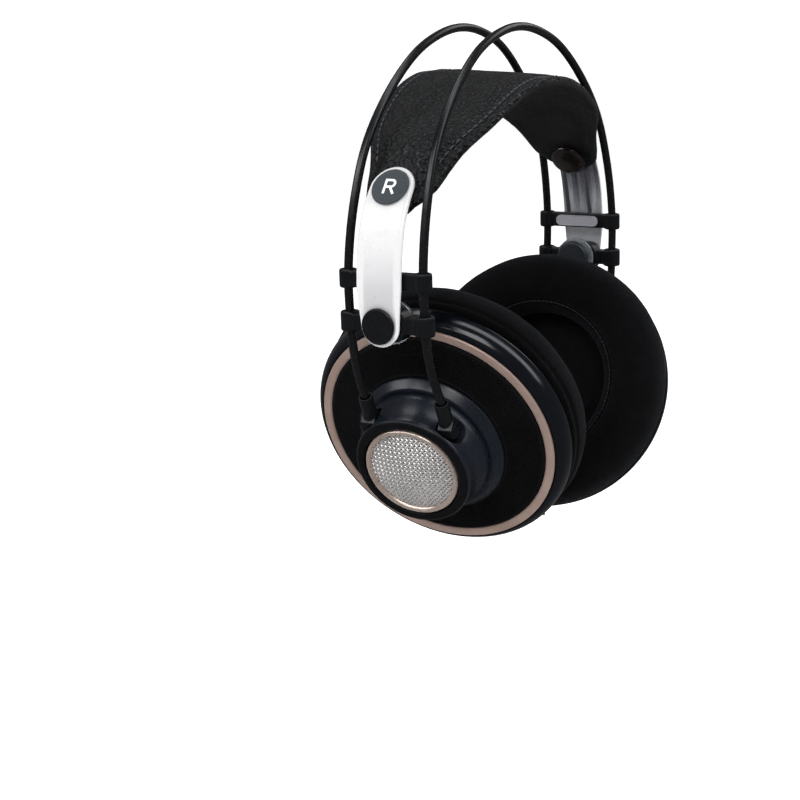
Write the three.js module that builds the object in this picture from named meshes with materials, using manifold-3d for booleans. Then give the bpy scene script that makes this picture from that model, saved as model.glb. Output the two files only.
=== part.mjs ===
// Open-back over-ear headphones with a self-adjusting headband.
// Millimetres, +Z up, +X to the wearer's left, -Y to the wearer's front.
// The origin is on the flat underside of the leather strap, where a stand's arm carries it.
import * as THREE from "three";
import { mergeVertices } from "three/addons/utils/BufferGeometryUtils.js";
import Module from "manifold-3d";

const wasm = await Module();
wasm.setup();

// ---------------------------------------------------------------- driving dimensions
// The headphones are drawn for a trim ring 100 mm across, with heights above the middle of
// the lower crossbars, and made at the size that TRIM_RING_OD gives.
const TRIM_RING_OD = 96.5;
const STRAP_UNDERSIDE_Z = 81.1; // the origin's height
const STRAP_THICK = 3.0;
const STRAP_MID = [ // half of the strap's middle line, from the centre out: x, z, half width
  [0, 82.6, 28], [10, 82.6, 28], [20, 80.9, 28], [30, 78.4, 27.8], [38, 76.0, 27.0], [46, 73.3, 26],
  [52, 71.2, 24], [57.5, 69.0, 19.5], [62.5, 66.4, 12.6], [66.3, 63.2, 12.4], [69.6, 59.5, 12.2], [72.7, 55.3, 12.2], [75.7, 51.3, 12.0],
  [78.3, 48.0, 11.6], [80.5, 45.1, 10.6], [82.0, 42.6, 8.4], [82.8, 41.1, 6.2],
];
const ROD_R = 1.7;
const ROD_SIDES = 8;
const ROD_CROWN_Z = 105.3;
const ROD_Y_BASE = 16.2; // half the distance between the rods at the crossbars
const ROD_Y_CROWN = 13.0; // and at the crown
const ROD_X = [ // half arch: x at height z
  [15.5, 103.7], [34.1, 97.9], [49.7, 88.5], [64.1, 75.8], [73.9, 63.2], [80.8, 47.4], [85.1, 31.6],
  [87.0, 15.8], [86.4, 0], [85.7, -8], [82.6, -20.5],
];
const LOWER_X = 86.4;
const UPPER_Z = 16.4;
const UPPER_X = 87.0;
const STRIP_MID = [ // middle line of the strip: x, z, half width
  [91.4, -8.1, 3.0], [91.5, -6.1, 5.6], [91.5, -3.5, 7.5], [91.6, 0, 8.2], [91.8, 8, 9.1], [91.6, 16.4, 9.6],
  [90.6, 26, 9.6], [88.2, 36, 9.5], [84.4, 44.1, 9.4], [80.4, 49.4, 9.4], [78.2, 52.2, 8.7], [76.5, 54.35, 6.7], [75.0, 56.3, 3.4],
];
const STRIP_THICK = 1.5;
const BADGE_AT = [80.4, 49.4]; // on the strip's middle line
const BADGE_LEAN = 38; // degrees between the strip and the vertical at the badge
const BADGE_R = 7.6;

const CUP_X = 48.8; // middle of the trim ring's face
const CUP_Z = -53.2;
const CUP_TILT = 20.4; // degrees that the cup's outward axis points down
const CUP_SWIVEL = { R: 4, L: 8 }; // degrees about the vertical through the pivots, as the cups hang
const PIVOT_T = 18.0; // pivot above the cup's axis, in the cup's own frame
const PIVOT_H = 18.0; // and in front of the trim ring
const TRIM_R_OUT = 50.0;
const TRIM_R_IN = 46.4;
const SHELL_R = 54.5;
const PAD_R = 56.2;
const PAD_R_IN = 29.0;
const PAD_FACE_H = -31.5;
const CUP_SEG = 24;
const SMALL_SEG = 16;

// ---------------------------------------------------------------- helpers
const V3 = (x, y, z) => new THREE.Vector3(x, y, z);
const rad = THREE.MathUtils.degToRad;

// A geometry with position only, merged, and facing out.
function clean(g) {
  g = g.clone();
  g.deleteAttribute("normal");
  g.deleteAttribute("uv");
  g = mergeVertices(g, 1e-3);
  const p = g.attributes.position, ix = g.index.array, keep = [];
  for (let i = 0; i < ix.length; i += 3)
    if (ix[i] !== ix[i + 1] && ix[i + 1] !== ix[i + 2] && ix[i] !== ix[i + 2]) keep.push(ix[i], ix[i + 1], ix[i + 2]);
  let vol = 0;
  const a = V3(), b = V3(), c = V3();
  for (let i = 0; i < keep.length; i += 3) {
    a.fromBufferAttribute(p, keep[i]); b.fromBufferAttribute(p, keep[i + 1]); c.fromBufferAttribute(p, keep[i + 2]);
    vol += a.dot(b.cross(c));
  }
  if (vol < 0) for (let i = 0; i < keep.length; i += 3) [keep[i + 1], keep[i + 2]] = [keep[i + 2], keep[i + 1]];
  g.setIndex(keep);
  return g;
}
function solid(g) {
  g = clean(g);
  return new wasm.Manifold(new wasm.Mesh({
    numProp: 3, vertProperties: new Float32Array(g.attributes.position.array), triVerts: new Uint32Array(g.index.array),
  }));
}
function geometry(m) {
  const mesh = m.getMesh();
  const g = new THREE.BufferGeometry();
  g.setAttribute("position", new THREE.BufferAttribute(new Float32Array(mesh.vertProperties), 3));
  g.setIndex(new THREE.BufferAttribute(new Uint32Array(mesh.triVerts), 1));
  g.computeVertexNormals();
  return g;
}
// A turned piece about Z from [radius, height] points.
// A profile that doesn't start and end on the axis is closed on itself.
function turned(points, segments) {
  const pts = points.map(([r, h]) => new THREE.Vector2(r, h));
  const onAxis = pts[0].x === 0 && pts[pts.length - 1].x === 0;
  if (!onAxis) pts.push(pts[0].clone());
  return clean(new THREE.LatheGeometry(pts, segments).rotateX(Math.PI / 2));
}
// A cylinder between two points.
function rod(a, b, r, sides = 16) {
  const d = b.clone().sub(a), g = new THREE.CylinderGeometry(r, r, d.length(), sides);
  g.applyQuaternion(new THREE.Quaternion().setFromUnitVectors(V3(0, 1, 0), d.clone().normalize()));
  const m = a.clone().add(b).multiplyScalar(0.5);
  return g.translate(m.x, m.y, m.z);
}
// A flat band: stations of [x, z, half width], thickness across the line.
function band(stations, thick) {
  const n = stations.length, pos = [], idx = [];
  for (let i = 0; i < n; i++) {
    const [x, z, w] = stations[i];
    const [x0, z0] = stations[Math.max(i - 1, 0)], [x1, z1] = stations[Math.min(i + 1, n - 1)];
    const l = Math.hypot(x1 - x0, z1 - z0), nx = -(z1 - z0) / l, nz = (x1 - x0) / l, t = thick / 2;
    pos.push(x + nx * t, -w, z + nz * t, x + nx * t, w, z + nz * t, x - nx * t, w, z - nz * t, x - nx * t, -w, z - nz * t);
  }
  for (let i = 0; i < n - 1; i++)
    for (let k = 0; k < 4; k++) {
      const a = 4 * i + k, b = 4 * i + (k + 1) % 4, c = b + 4, d = a + 4;
      idx.push(a, b, c, a, c, d);
    }
  idx.push(0, 2, 1, 0, 3, 2);
  const e = 4 * (n - 1);
  idx.push(e, e + 1, e + 2, e, e + 2, e + 3);
  const g = new THREE.BufferGeometry();
  g.setAttribute("position", new THREE.Float32BufferAttribute(pos, 3));
  g.setIndex(idx);
  return clean(g);
}
function rounded(w, h, r) {
  const s = new THREE.Shape(), x = w / 2, y = h / 2;
  s.moveTo(-x + r, -y); s.lineTo(x - r, -y); s.absarc(x - r, -y + r, r, -Math.PI / 2, 0, false);
  s.lineTo(x, y - r); s.absarc(x - r, y - r, r, 0, Math.PI / 2, false);
  s.lineTo(-x + r, y); s.absarc(-x + r, y - r, r, Math.PI / 2, Math.PI, false);
  s.lineTo(-x, -y + r); s.absarc(-x + r, -y + r, r, Math.PI, 1.5 * Math.PI, false);
  return s;
}
// An outline in the Y-Z plane, as thick as x0..x1.
function plateX(shape, x0, x1, curveSegments = 4) {
  const g = new THREE.ExtrudeGeometry(shape, { depth: x1 - x0, bevelEnabled: false, curveSegments });
  // shape x -> +Y, shape y -> +Z, depth -> +X
  return g.applyMatrix4(new THREE.Matrix4().set(0, 0, 1, x0, 1, 0, 0, 0, 0, 1, 0, 0, 0, 0, 0, 1));
}

const MATERIALS = {
  leather: [0x17181a, 0.62, 0], velour: [0x0b0b0c, 0.95, 0], rod: [0x151618, 0.42, 0], strip: [0xe9ebee, 0.35, 0],
  badge: [0x565d62, 0.5, 0], black: [0x141517, 0.45, 0], gloss: [0x0a0b10, 0.12, 0], hub: [0x222832, 0.35, 0],
  champagne: [0xc9aea2, 0.32, 0.9], silver: [0xcfc7c2, 0.3, 0.9], grille: [0x1b1b1e, 0.75, 0], mesh: [0xbdb6b3, 0.35, 0.9],
  felt: [0x3a3a3c, 0.95, 0], baffle: [0x101114, 0.5, 0], driver: [0x1c1d20, 0.5, 0], magnet: [0x8b8d90, 0.35, 1],
  diaphragm: [0xb8a98f, 0.3, 0], clear: [0xd5dadd, 0.2, 0], elastic: [0xdadbd8, 0.7, 0], plate: [0x8d9296, 0.4, 0.6],
  rivet: [0x1a1512, 0.15, 0.2], brass: [0xb08d45, 0.3, 1],
};
function mesh(name, g, material) {
  const [color, roughness, metalness] = MATERIALS[material];
  const m = new THREE.Mesh(g, new THREE.MeshStandardMaterial({ color, roughness, metalness }));
  m.name = name;
  return m;
}

const model = new THREE.Group();
const frame = new THREE.Group(); // heights measured from the lower crossbars
frame.scale.setScalar(TRIM_RING_OD / 100);
frame.position.z = (-STRAP_UNDERSIDE_Z * TRIM_RING_OD) / 100;
model.add(frame);

// ---------------------------------------------------------------- strap
{
  const left = STRAP_MID.slice(1).reverse().map(([x, z, w]) => [-x, z, w]);
  frame.add(mesh("headband_strap", band([...left, ...STRAP_MID.slice(1)], STRAP_THICK), "leather"));
}

// ---------------------------------------------------------------- sprung arches
const pivot2 = (() => { // the pivot's x and z on the +X side
  const a = rad(CUP_TILT);
  return [CUP_X + PIVOT_H * Math.cos(a) + PIVOT_T * Math.sin(a), CUP_Z - PIVOT_H * Math.sin(a) + PIVOT_T * Math.cos(a)];
})();
const rodY = (z) => (z <= 0 ? ROD_Y_BASE : ROD_Y_BASE + (ROD_Y_CROWN - ROD_Y_BASE) * (z / ROD_CROWN_Z) ** 2);
// Direction of the rod's straight end, from the pivot up the rod.
const END_BLEND = [0, 0, 0, 0, 0, 0, 0, 0, 0, 0, 0.45]; // how far each point of ROD_X follows the swivel
// A point turned about the vertical through a side's pivots, by a share of that cup's swivel.
function swivelled(p, sx, share = 1) {
  const q = V3(p.x - sx * pivot2[0], p.y, p.z).applyAxisAngle(V3(0, 0, 1), rad(CUP_SWIVEL[sx < 0 ? "R" : "L"]) * share);
  q.x += sx * pivot2[0];
  return q;
}
const END = (() => { const [x, z] = ROD_X[ROD_X.length - 1]; const d = V3(x - pivot2[0], 0, z - pivot2[1]); return d.normalize(); })();
const ROD_END_GAP = 5.0; // the rod stops this far short of the pivot
for (const [name, s] of [["arch_rod_front", -1], ["arch_rod_rear", 1]]) {
  const half = (sx) => {
    const pts = ROD_X.map(([x, z], i) => swivelled(V3(sx * x, s * rodY(z), z), sx, END_BLEND[i]));
    for (const d of [12, ROD_END_GAP]) pts.push(swivelled(V3(sx * (pivot2[0] + END.x * d), s * ROD_Y_BASE, pivot2[1] + END.z * d), sx));
    return pts;
  };
  const points = [...half(-1).reverse(), V3(0, s * ROD_Y_CROWN, ROD_CROWN_Z), ...half(1)];
  const section = new THREE.Shape();
  for (let i = 0; i < ROD_SIDES; i++) {
    const a = (i + 0.5) / ROD_SIDES * 2 * Math.PI;
    section[i ? "lineTo" : "moveTo"](ROD_R * Math.cos(a), ROD_R * Math.sin(a));
  }
  section.closePath();
  const g = new THREE.ExtrudeGeometry(section, { steps: 56, bevelEnabled: false, extrudePath: new THREE.CatmullRomCurve3(points, false, "centripetal") });
  frame.add(mesh(name, clean(g), "rod"));
}

// ---------------------------------------------------------------- both sides
for (const [side, sx] of [["R", -1], ["L", 1]]) {
  const add = (name, g, material, parent = frame) => parent.add(mesh(name + "_" + side, g, material));
  const place = (g) => (sx < 0 ? clean(g.clone().scale(-1, 1, 1)) : clean(g)); // pieces below are drawn on the +X side

  // Lower crossbar: slides on both rods and carries the strip.
  {
    let m = solid(plateX(rounded(2 * ROD_Y_BASE, 6.2, 1.2), LOWER_X - 2.6, LOWER_X + 3.0));
    m = m.add(solid(plateX(rounded(19, 13, 5.5), LOWER_X - 3.0, LOWER_X + 3.6, 5)));
    for (const y of [-ROD_Y_BASE, ROD_Y_BASE]) {
      m = m.add(solid(rod(V3(LOWER_X, y, -3.9), V3(LOWER_X, y, 3.9), 3.7, 16)));
    }
    for (const y of [-ROD_Y_BASE, ROD_Y_BASE]) {
      m = m.subtract(solid(rod(V3(LOWER_X - 0.3, y, -6), V3(LOWER_X + 0.3, y, 6), ROD_R + 0.6, 12)));
    }
    add("lower_crossbar", place(geometry(m)), "black");
  }
  add("slider_ring", place(turned([[3.4, 0], [8.7, 0], [8.7, 1.2], [3.4, 1.2]], SMALL_SEG).rotateY(-Math.PI / 2).translate(LOWER_X - 3.3, 0, 0)), "clear");
  add("slider_cap", place(turned([[0, -1.2], [3.0, -1.2], [3.0, 1.5], [7.3, 1.5], [7.5, 2.1], [7.3, 3.4], [6.7, 4.0], [0, 4.2]], SMALL_SEG).rotateY(-Math.PI / 2).translate(LOWER_X - 4.6 + 0.1, 0, 0)), "black");

  // Strip, from the button at the lower crossbar to the badge at the strap's end.
  add("strip", place(band(STRIP_MID, STRIP_THICK)), "strip");
  add("crossbar_button", place(turned([[0, 0], [7.1, 0], [7.3, 0.8], [6.8, 1.6], [0, 2.0]], SMALL_SEG).rotateY(Math.PI / 2).translate(STRIP_MID[3][0] + STRIP_THICK / 2 + 0.5, 0, 0)), "black");
  {
    const a = rad(BADGE_LEAN), out = V3(Math.cos(a), 0, Math.sin(a)); // away from the strap
    const q = new THREE.Quaternion().setFromUnitVectors(V3(0, 0, 1), out);
    const at = (d) => V3(BADGE_AT[0] + out.x * d, 0, BADGE_AT[1] + out.z * d);
    const put = (g, d) => { const p = at(d); return place(g.applyQuaternion(q).translate(p.x, p.y, p.z)); };
    add("side_badge", put(turned([[0, 0], [7.2, 0], [BADGE_R, 0.5], [7.0, 1.5], [0, 1.5]], SMALL_SEG), STRIP_THICK / 2 + 0.45), "badge");
    add("badge_rivet", put(turned([[0, 0], [6.0, 0], [7.9, -1.9], [7.3, -3.3], [4.6, -4.6], [0, -5.1]], SMALL_SEG), -(STRIP_THICK / 2 + STRAP_THICK + 1.4)), "rivet");
  }

  // Upper crossbar: clamped on the rods, with the name plate inside and the elastics above.
  {
    const y0 = rodY(UPPER_Z);
    let m = solid(plateX(rounded(2 * y0, 6.2, 1.0), UPPER_X - 2.2, UPPER_X + 2.6));
    for (const y of [-y0, y0]) m = m.add(solid(rod(V3(UPPER_X, y, UPPER_Z - 3.6), V3(UPPER_X, y, UPPER_Z + 3.6), 3.4, 16)).translate(0, 0, -UPPER_Z));
    m = m.translate(0, 0, UPPER_Z);
    for (const y of [-y0, y0]) m = m.subtract(solid(rod(V3(UPPER_X + 0.24, y * 1.003, UPPER_Z - 6), V3(UPPER_X - 0.24, y * 0.997, UPPER_Z + 6), ROD_R + 0.55, 12)));
    add("upper_crossbar", place(geometry(m)), "black");
    add("name_plate", place(plateX(rounded(20.5, 4.8, 2.3), UPPER_X - 3.5, UPPER_X - 2.5, 5).translate(0, 0, UPPER_Z)), "plate");
    for (const [n, y] of [["elastic_front", -5.2], ["elastic_rear", 5.2]])
      add(n, place(rod(V3(UPPER_X - 0.2, y, UPPER_Z + 3.7), V3(81.4, y, 39.6), 1.0, 8)), "elastic");
  }

  // Rod ends: a sleeve on the rod, a six-sided boss and the pivot pin into the hub.
  for (const [n, s] of [["rod_end_front", -1], ["rod_end_rear", 1]]) {
    const P = (d, y) => swivelled(V3(sx * (pivot2[0] + END.x * d), s * y, pivot2[1] + END.z * d), sx);
    let m = solid(rod(P(1.5, ROD_Y_BASE), P(12.5, ROD_Y_BASE), 2.85, 12));
    m = m.add(solid(rod(P(0, 13.4), P(0, 19.6), 4.2, 6)));
    m = m.add(solid(rod(P(0, 10.4), P(0, 14.0), 1.4, 12)));
    m = m.subtract(solid(rod(P(ROD_END_GAP - 0.35, ROD_Y_BASE), P(14, ROD_Y_BASE), ROD_R + 0.5, 12)));
    add(n, clean(geometry(m)), "black");
  }

  // Cup, in its own frame: local z along the outward axis, local y up the cup, local x along Y.
  const cup = new THREE.Group();
  {
    const a = rad(CUP_TILT), n = V3(sx * Math.cos(a), 0, -Math.sin(a)), t = V3(sx * Math.sin(a), 0, Math.cos(a)), u = t.clone().cross(n);
    cup.quaternion.setFromRotationMatrix(new THREE.Matrix4().makeBasis(u, t, n));
    cup.quaternion.premultiply(new THREE.Quaternion().setFromAxisAngle(V3(0, 0, 1), rad(CUP_SWIVEL[side])));
    cup.position.copy(swivelled(V3(sx * CUP_X, 0, CUP_Z), sx));
  }
  frame.add(cup);
  const addCup = (name, g, material) => add(name, g, material, cup);

  addCup("trim_ring", turned([[TRIM_R_IN, -1.3], [TRIM_R_OUT, -1.3], [TRIM_R_OUT, -0.3], [49.2, 0], [47.2, 0], [TRIM_R_IN, -0.3]], CUP_SEG), "champagne");
  const socketAt = (d, x = 0, h = 0) => V3(x, -41.5 - d, -5.6 + h); // down the left cup from a point inside its rim
  let shell = solid(turned([[44.4, -1.7], [50.5, -1.7], [50.6, -0.9], [52.2, -2.0], [53.8, -4.6], [SHELL_R, -7.4], [54.2, -9.4], [51.6, -10.2], [51.2, -7.2], [48.6, -3.4], [44.4, -3.2]], CUP_SEG));
  if (side === "L") shell = shell.subtract(solid(rod(socketAt(8.4), socketAt(22), 4.75, 16)));
  addCup("cup_shell", clean(geometry(shell)), "gloss");
  addCup("outer_grille", turned([[31.0, 2.9], [44.9, -1.3], [46.0, -1.1], [46.0, -0.2], [44.6, 0.1], [31.0, 4.1]], CUP_SEG), "grille");
  addCup("hub_base", turned([[19, 1.6], [30.6, 1.6], [30.6, 4.4], [31.2, 4.5], [31.0, 5.4], [28.2, 9.0], [19, 9.0]], CUP_SEG), "hub");
  {
    let m = solid(turned([[15.5, 9.4], [27.0, 9.4], [26.7, 11.6], [25.2, 15.5], [24.3, 19.5], [24.1, 23.0], [22.9, 25.0], [20.0, 25.0], [20.0, 22.6], [15.5, 22.6]], CUP_SEG));
    for (const s of [-1, 1]) {
      m = m.subtract(solid(rod(V3(s * 12.9, PIVOT_T, PIVOT_H), V3(s * 32, PIVOT_T, PIVOT_H), 5.4, 16)));
      m = m.subtract(solid(rod(V3(s * 9.8, PIVOT_T, PIVOT_H), V3(s * 16, PIVOT_T, PIVOT_H), 1.75, 12)));
    }
    addCup("hub_cap", clean(geometry(m)), "hub");
  }
  addCup("mesh_rim", turned([[17.2, 23.0], [19.6, 23.0], [19.6, 24.6], [18.9, 25.2], [17.9, 25.2], [17.2, 24.4]], CUP_SEG), "silver");
  addCup("mesh_dome", turned([[0, 25.4], [8.5, 25.0], [16.7, 23.7], [16.7, 23.1], [8.5, 24.3], [0, 24.7]], SMALL_SEG), "mesh");
  addCup("damping_felt", turned([[15.4, 1.3], [18.4, 1.3], [18.4, 2.9], [15.4, 2.9]].map(([r, h]) => [r, h - 3.2]), SMALL_SEG), "felt");
  addCup("driver_magnet", turned([[0, -5.4], [8.6, -5.4], [8.6, 1.0], [0, 1.0]], SMALL_SEG), "magnet");
  addCup("driver_frame", turned([[9.0, -5.6], [22.4, -7.6], [22.4, -9.4], [19.6, -9.4], [9.0, -7.8]], SMALL_SEG), "driver");
  addCup("diaphragm", turned([[0, -8.3], [9.4, -8.9], [19.0, -9.9], [19.0, -10.3], [9.4, -9.5], [0, -8.8]], SMALL_SEG), "diaphragm");
  addCup("baffle", turned([[22.9, -9.0], [50.6, -9.0], [50.6, -10.8], [27.4, -10.8], [22.9, -12.0]], CUP_SEG), "baffle");

  // Ear pad and the ring that holds it on the baffle.
  addCup("pad_ring", turned([[41.0, -11.2], [50.8, -11.2], [50.8, -12.6], [41.0, -12.6]], CUP_SEG), "black");
  addCup("ear_pad", turned([[34.5, -13.0], [53.4, -13.0], [55.4, -14.8], [PAD_R, -19.5], [55.0, -25.5], [51.0, -29.8], [44.5, PAD_FACE_H], [37.5, -30.6], [31.8, -27.0], [PAD_R_IN, -21.5], [30.0, -16.0]], CUP_SEG), "velour");

  if (side === "L") {
    // Cable socket let into the bottom of the shell, opening downwards.
    addCup("cable_socket", clean(geometry(solid(rod(socketAt(9.6), socketAt(16.8), 4.4, 16)).subtract(solid(rod(socketAt(12.0), socketAt(18), 3.4, 16))))), "black");
    let pins = solid(rod(socketAt(12.3), socketAt(13.1), 3.0, 12));
    for (const [x, h] of [[1.3, 0.8], [-1.3, 0.8], [0, -1.4]]) pins = pins.add(solid(rod(socketAt(12.9, x, h), socketAt(15.6, x, h), 0.45, 8)));
    addCup("socket_pins", clean(geometry(pins)), "brass");
  }
}

export default model;
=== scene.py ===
import math

import bmesh
import bpy
import numpy as np
from mathutils import Matrix, Vector, noise


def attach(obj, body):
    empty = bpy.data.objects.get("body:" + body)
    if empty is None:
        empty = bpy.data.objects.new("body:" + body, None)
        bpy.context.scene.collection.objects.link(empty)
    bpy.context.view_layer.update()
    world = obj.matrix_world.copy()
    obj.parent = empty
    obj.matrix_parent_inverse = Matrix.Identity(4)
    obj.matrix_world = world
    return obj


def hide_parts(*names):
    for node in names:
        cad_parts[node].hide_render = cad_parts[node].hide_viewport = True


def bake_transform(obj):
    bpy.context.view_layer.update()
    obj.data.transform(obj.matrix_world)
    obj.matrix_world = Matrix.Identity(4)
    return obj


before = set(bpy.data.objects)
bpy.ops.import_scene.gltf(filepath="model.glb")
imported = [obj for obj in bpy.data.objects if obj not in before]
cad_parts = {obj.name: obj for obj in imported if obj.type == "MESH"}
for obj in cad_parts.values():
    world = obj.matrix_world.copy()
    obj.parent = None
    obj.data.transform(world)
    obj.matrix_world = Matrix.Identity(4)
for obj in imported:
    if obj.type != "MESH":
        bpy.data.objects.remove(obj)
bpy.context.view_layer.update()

# ------------------------------------------------------------------ the drawing frame
# Shapes are drawn in the same millimetres as the CAD source: heights from the lower crossbars,
# for a trim ring 100 mm across. D() turns such a point into metres in the row frame.
K = 0.965e-3
Z_ORIGIN = 81.1
CUP_TILT, CUP_X, CUP_Z, PIVOT_T, PIVOT_H = 20.4, 48.8, -53.2, 18.0, 18.0
SWIVEL = {"R": 4.0, "L": 8.0}
SIGN = {"R": -1, "L": 1}
_a = math.radians(CUP_TILT)
PIV = (CUP_X + PIVOT_H * math.cos(_a) + PIVOT_T * math.sin(_a), CUP_Z - PIVOT_H * math.sin(_a) + PIVOT_T * math.cos(_a))
TO_M = Matrix.Translation((0, 0, -K * Z_ORIGIN)) @ Matrix.Diagonal((K, K, K, 1))


def D(x, y, z):
    return Vector((K * x, K * y, K * (z - Z_ORIGIN)))


def swivelled(p, sx, share=1.0):
    b = math.radians(SWIVEL["R" if sx < 0 else "L"]) * share
    x, y = p[0] - sx * PIV[0], p[1]
    return Vector((sx * PIV[0] + x * math.cos(b) - y * math.sin(b), x * math.sin(b) + y * math.cos(b), p[2]))


def cup_matrix(side):
    sx = SIGN[side]
    n = Vector((sx * math.cos(_a), 0, -math.sin(_a)))
    t = Vector((sx * math.sin(_a), 0, math.cos(_a)))
    u = t.cross(n)
    basis = Matrix(((u.x, t.x, n.x), (u.y, t.y, n.y), (u.z, t.z, n.z)))
    rot = Matrix.Rotation(math.radians(SWIVEL[side]), 3, "Z")
    m = (rot @ basis).to_4x4()
    m.translation = swivelled((sx * CUP_X, 0, CUP_Z), sx)
    return TO_M @ m


def facing(origin, direction, up=(0, 0, 1)):
    """From local mm with z along direction and y nearest to up, to metres."""
    z = Vector(direction).normalized()
    x = Vector(up).cross(z).normalized()
    y = z.cross(x)
    m = Matrix(((x.x, y.x, z.x), (x.y, y.y, z.y), (x.z, y.z, z.z))).to_4x4()
    m.translation = Vector(origin)
    return TO_M @ m


# ------------------------------------------------------------------ materials
class Nodes:
    def __init__(self, name):
        self.m = bpy.data.materials.new(name)
        self.m.use_nodes = True
        self.t = self.m.node_tree
        self.b = self.t.nodes["Principled BSDF"]
        self.coord = self.t.nodes.new("ShaderNodeTexCoord")
        self.normal = None

    def node(self, kind, **values):
        n = self.t.nodes.new(kind)
        for k, v in values.items():
            if k.startswith("in_"):
                n.inputs[k[3:].replace("_", " ")].default_value = v
            else:
                setattr(n, k, v)
        return n

    def link(self, a, b):
        self.t.links.new(a, b)

    def set(self, **values):
        for k, v in values.items():
            self.b.inputs[k.replace("_", " ")].default_value = v
        return self

    def mapping(self, scale=(1, 1, 1), source="Object"):
        n = self.node("ShaderNodeMapping")
        n.inputs["Scale"].default_value = scale
        self.link(self.coord.outputs[source], n.inputs["Vector"])
        return n.outputs["Vector"]

    def noise(self, scale, detail=3.0, rough=0.5, vector=None):
        n = self.node("ShaderNodeTexNoise")
        n.inputs["Scale"].default_value = scale
        n.inputs["Detail"].default_value = detail
        n.inputs["Roughness"].default_value = rough
        self.link(vector or self.coord.outputs["Object"], n.inputs["Vector"])
        return n.outputs["Fac"]

    def ramp(self, fac, stops):
        n = self.node("ShaderNodeValToRGB")
        while len(n.color_ramp.elements) < len(stops):
            n.color_ramp.elements.new(0.5)
        for e, (p, c) in zip(n.color_ramp.elements, stops):
            e.position = p
            e.color = (c, c, c, 1) if not hasattr(c, "__len__") else (*c, 1)
        self.link(fac, n.inputs["Fac"])
        return n.outputs["Color"]

    def span(self, fac, lo, hi, a=0.3, b=0.7):
        n = self.node("ShaderNodeMapRange")
        for k, v in (("From Min", a), ("From Max", b), ("To Min", lo), ("To Max", hi)):
            n.inputs[k].default_value = v
        self.link(fac, n.inputs["Value"])
        return n.outputs["Result"]

    def bump(self, height, strength, distance):
        n = self.node("ShaderNodeBump")
        n.inputs["Strength"].default_value = strength
        n.inputs["Distance"].default_value = distance
        self.link(height, n.inputs["Height"])
        if self.normal is not None:
            self.link(self.normal, n.inputs["Normal"])
        self.normal = n.outputs["Normal"]
        self.link(self.normal, self.b.inputs["Normal"])

    def colour(self, socket):
        self.link(socket, self.b.inputs["Base Color"])

    def rough(self, socket):
        self.link(socket, self.b.inputs["Roughness"])


def moulded_material(name, dark, light, rough, grain=9000, strength=0.12, spec=0.5, metallic=0.0, patch=60):
    k = Nodes(name)
    k.set(Metallic=metallic, Specular_IOR_Level=spec)
    k.colour(k.ramp(k.noise(patch, 4, 0.6), [(0.25, dark), (0.75, light)]))
    k.rough(k.span(k.noise(patch * 3, 3, 0.6), rough[0], rough[1]))
    k.bump(k.noise(grain, 2, 0.5), strength, 0.00006)
    return k.m


def leather_material():
    k = Nodes("leather_pebbled")
    k.set(Specular_IOR_Level=0.30)
    warp = k.node("ShaderNodeTexNoise")
    warp.inputs["Scale"].default_value = 260
    warp.inputs["Detail"].default_value = 2
    k.link(k.coord.outputs["Object"], warp.inputs["Vector"])
    mix = k.node("ShaderNodeMix", data_type="VECTOR")
    mix.inputs["Factor"].default_value = 0.0016
    k.link(k.coord.outputs["Object"], mix.inputs[4])
    k.link(warp.outputs["Color"], mix.inputs[5])
    v = mix.outputs[1]
    cells = k.node("ShaderNodeTexVoronoi", feature="SMOOTH_F1")
    cells.inputs["Scale"].default_value = 690
    cells.inputs["Smoothness"].default_value = 0.55
    k.link(v, cells.inputs["Vector"])
    cells2 = k.node("ShaderNodeTexVoronoi", feature="SMOOTH_F1")
    cells2.inputs["Scale"].default_value = 1250
    cells2.inputs["Smoothness"].default_value = 0.4
    k.link(v, cells2.inputs["Vector"])
    fold = k.noise(110, 4, 0.55)
    # painted highlight and shade: the pebbles' tops are coloured much lighter and the crevices between them near black
    k.colour(k.ramp(cells.outputs["Distance"], [(0.04, (0.0330, 0.0350, 0.0410)), (0.20, (0.0100, 0.0108, 0.0128)), (0.38, (0.0014, 0.0015, 0.0018)), (0.8, (0.0004, 0.0005, 0.0006))]))
    k.rough(k.span(cells.outputs["Distance"], 0.22, 0.62, 0.1, 0.6))
    inv = k.node("ShaderNodeMath", operation="SUBTRACT")
    inv.inputs[0].default_value = 1.0
    k.link(cells.outputs["Distance"], inv.inputs[1])
    inv2 = k.node("ShaderNodeMath", operation="SUBTRACT")
    inv2.inputs[0].default_value = 1.0
    k.link(cells2.outputs["Distance"], inv2.inputs[1])
    k.bump(fold, 0.5, 0.0006)
    k.bump(inv.outputs["Value"], 1.0, 0.0014)
    k.bump(inv2.outputs["Value"], 0.7, 0.00025)
    return k.m


def lining_material():
    k = Nodes("leather_lining")
    k.set(Specular_IOR_Level=0.3)
    cells = k.node("ShaderNodeTexVoronoi", feature="SMOOTH_F1")
    cells.inputs["Scale"].default_value = 1500
    cells.inputs["Smoothness"].default_value = 0.5
    k.link(k.coord.outputs["Object"], cells.inputs["Vector"])
    k.colour(k.ramp(k.noise(90, 4, 0.6), [(0.3, (0.0050, 0.0052, 0.0060)), (0.7, (0.0095, 0.0098, 0.0110))]))
    k.rough(k.span(k.noise(400, 3, 0.6), 0.52, 0.7))
    k.bump(cells.outputs["Distance"], 0.45, 0.00015)
    return k.m


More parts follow.
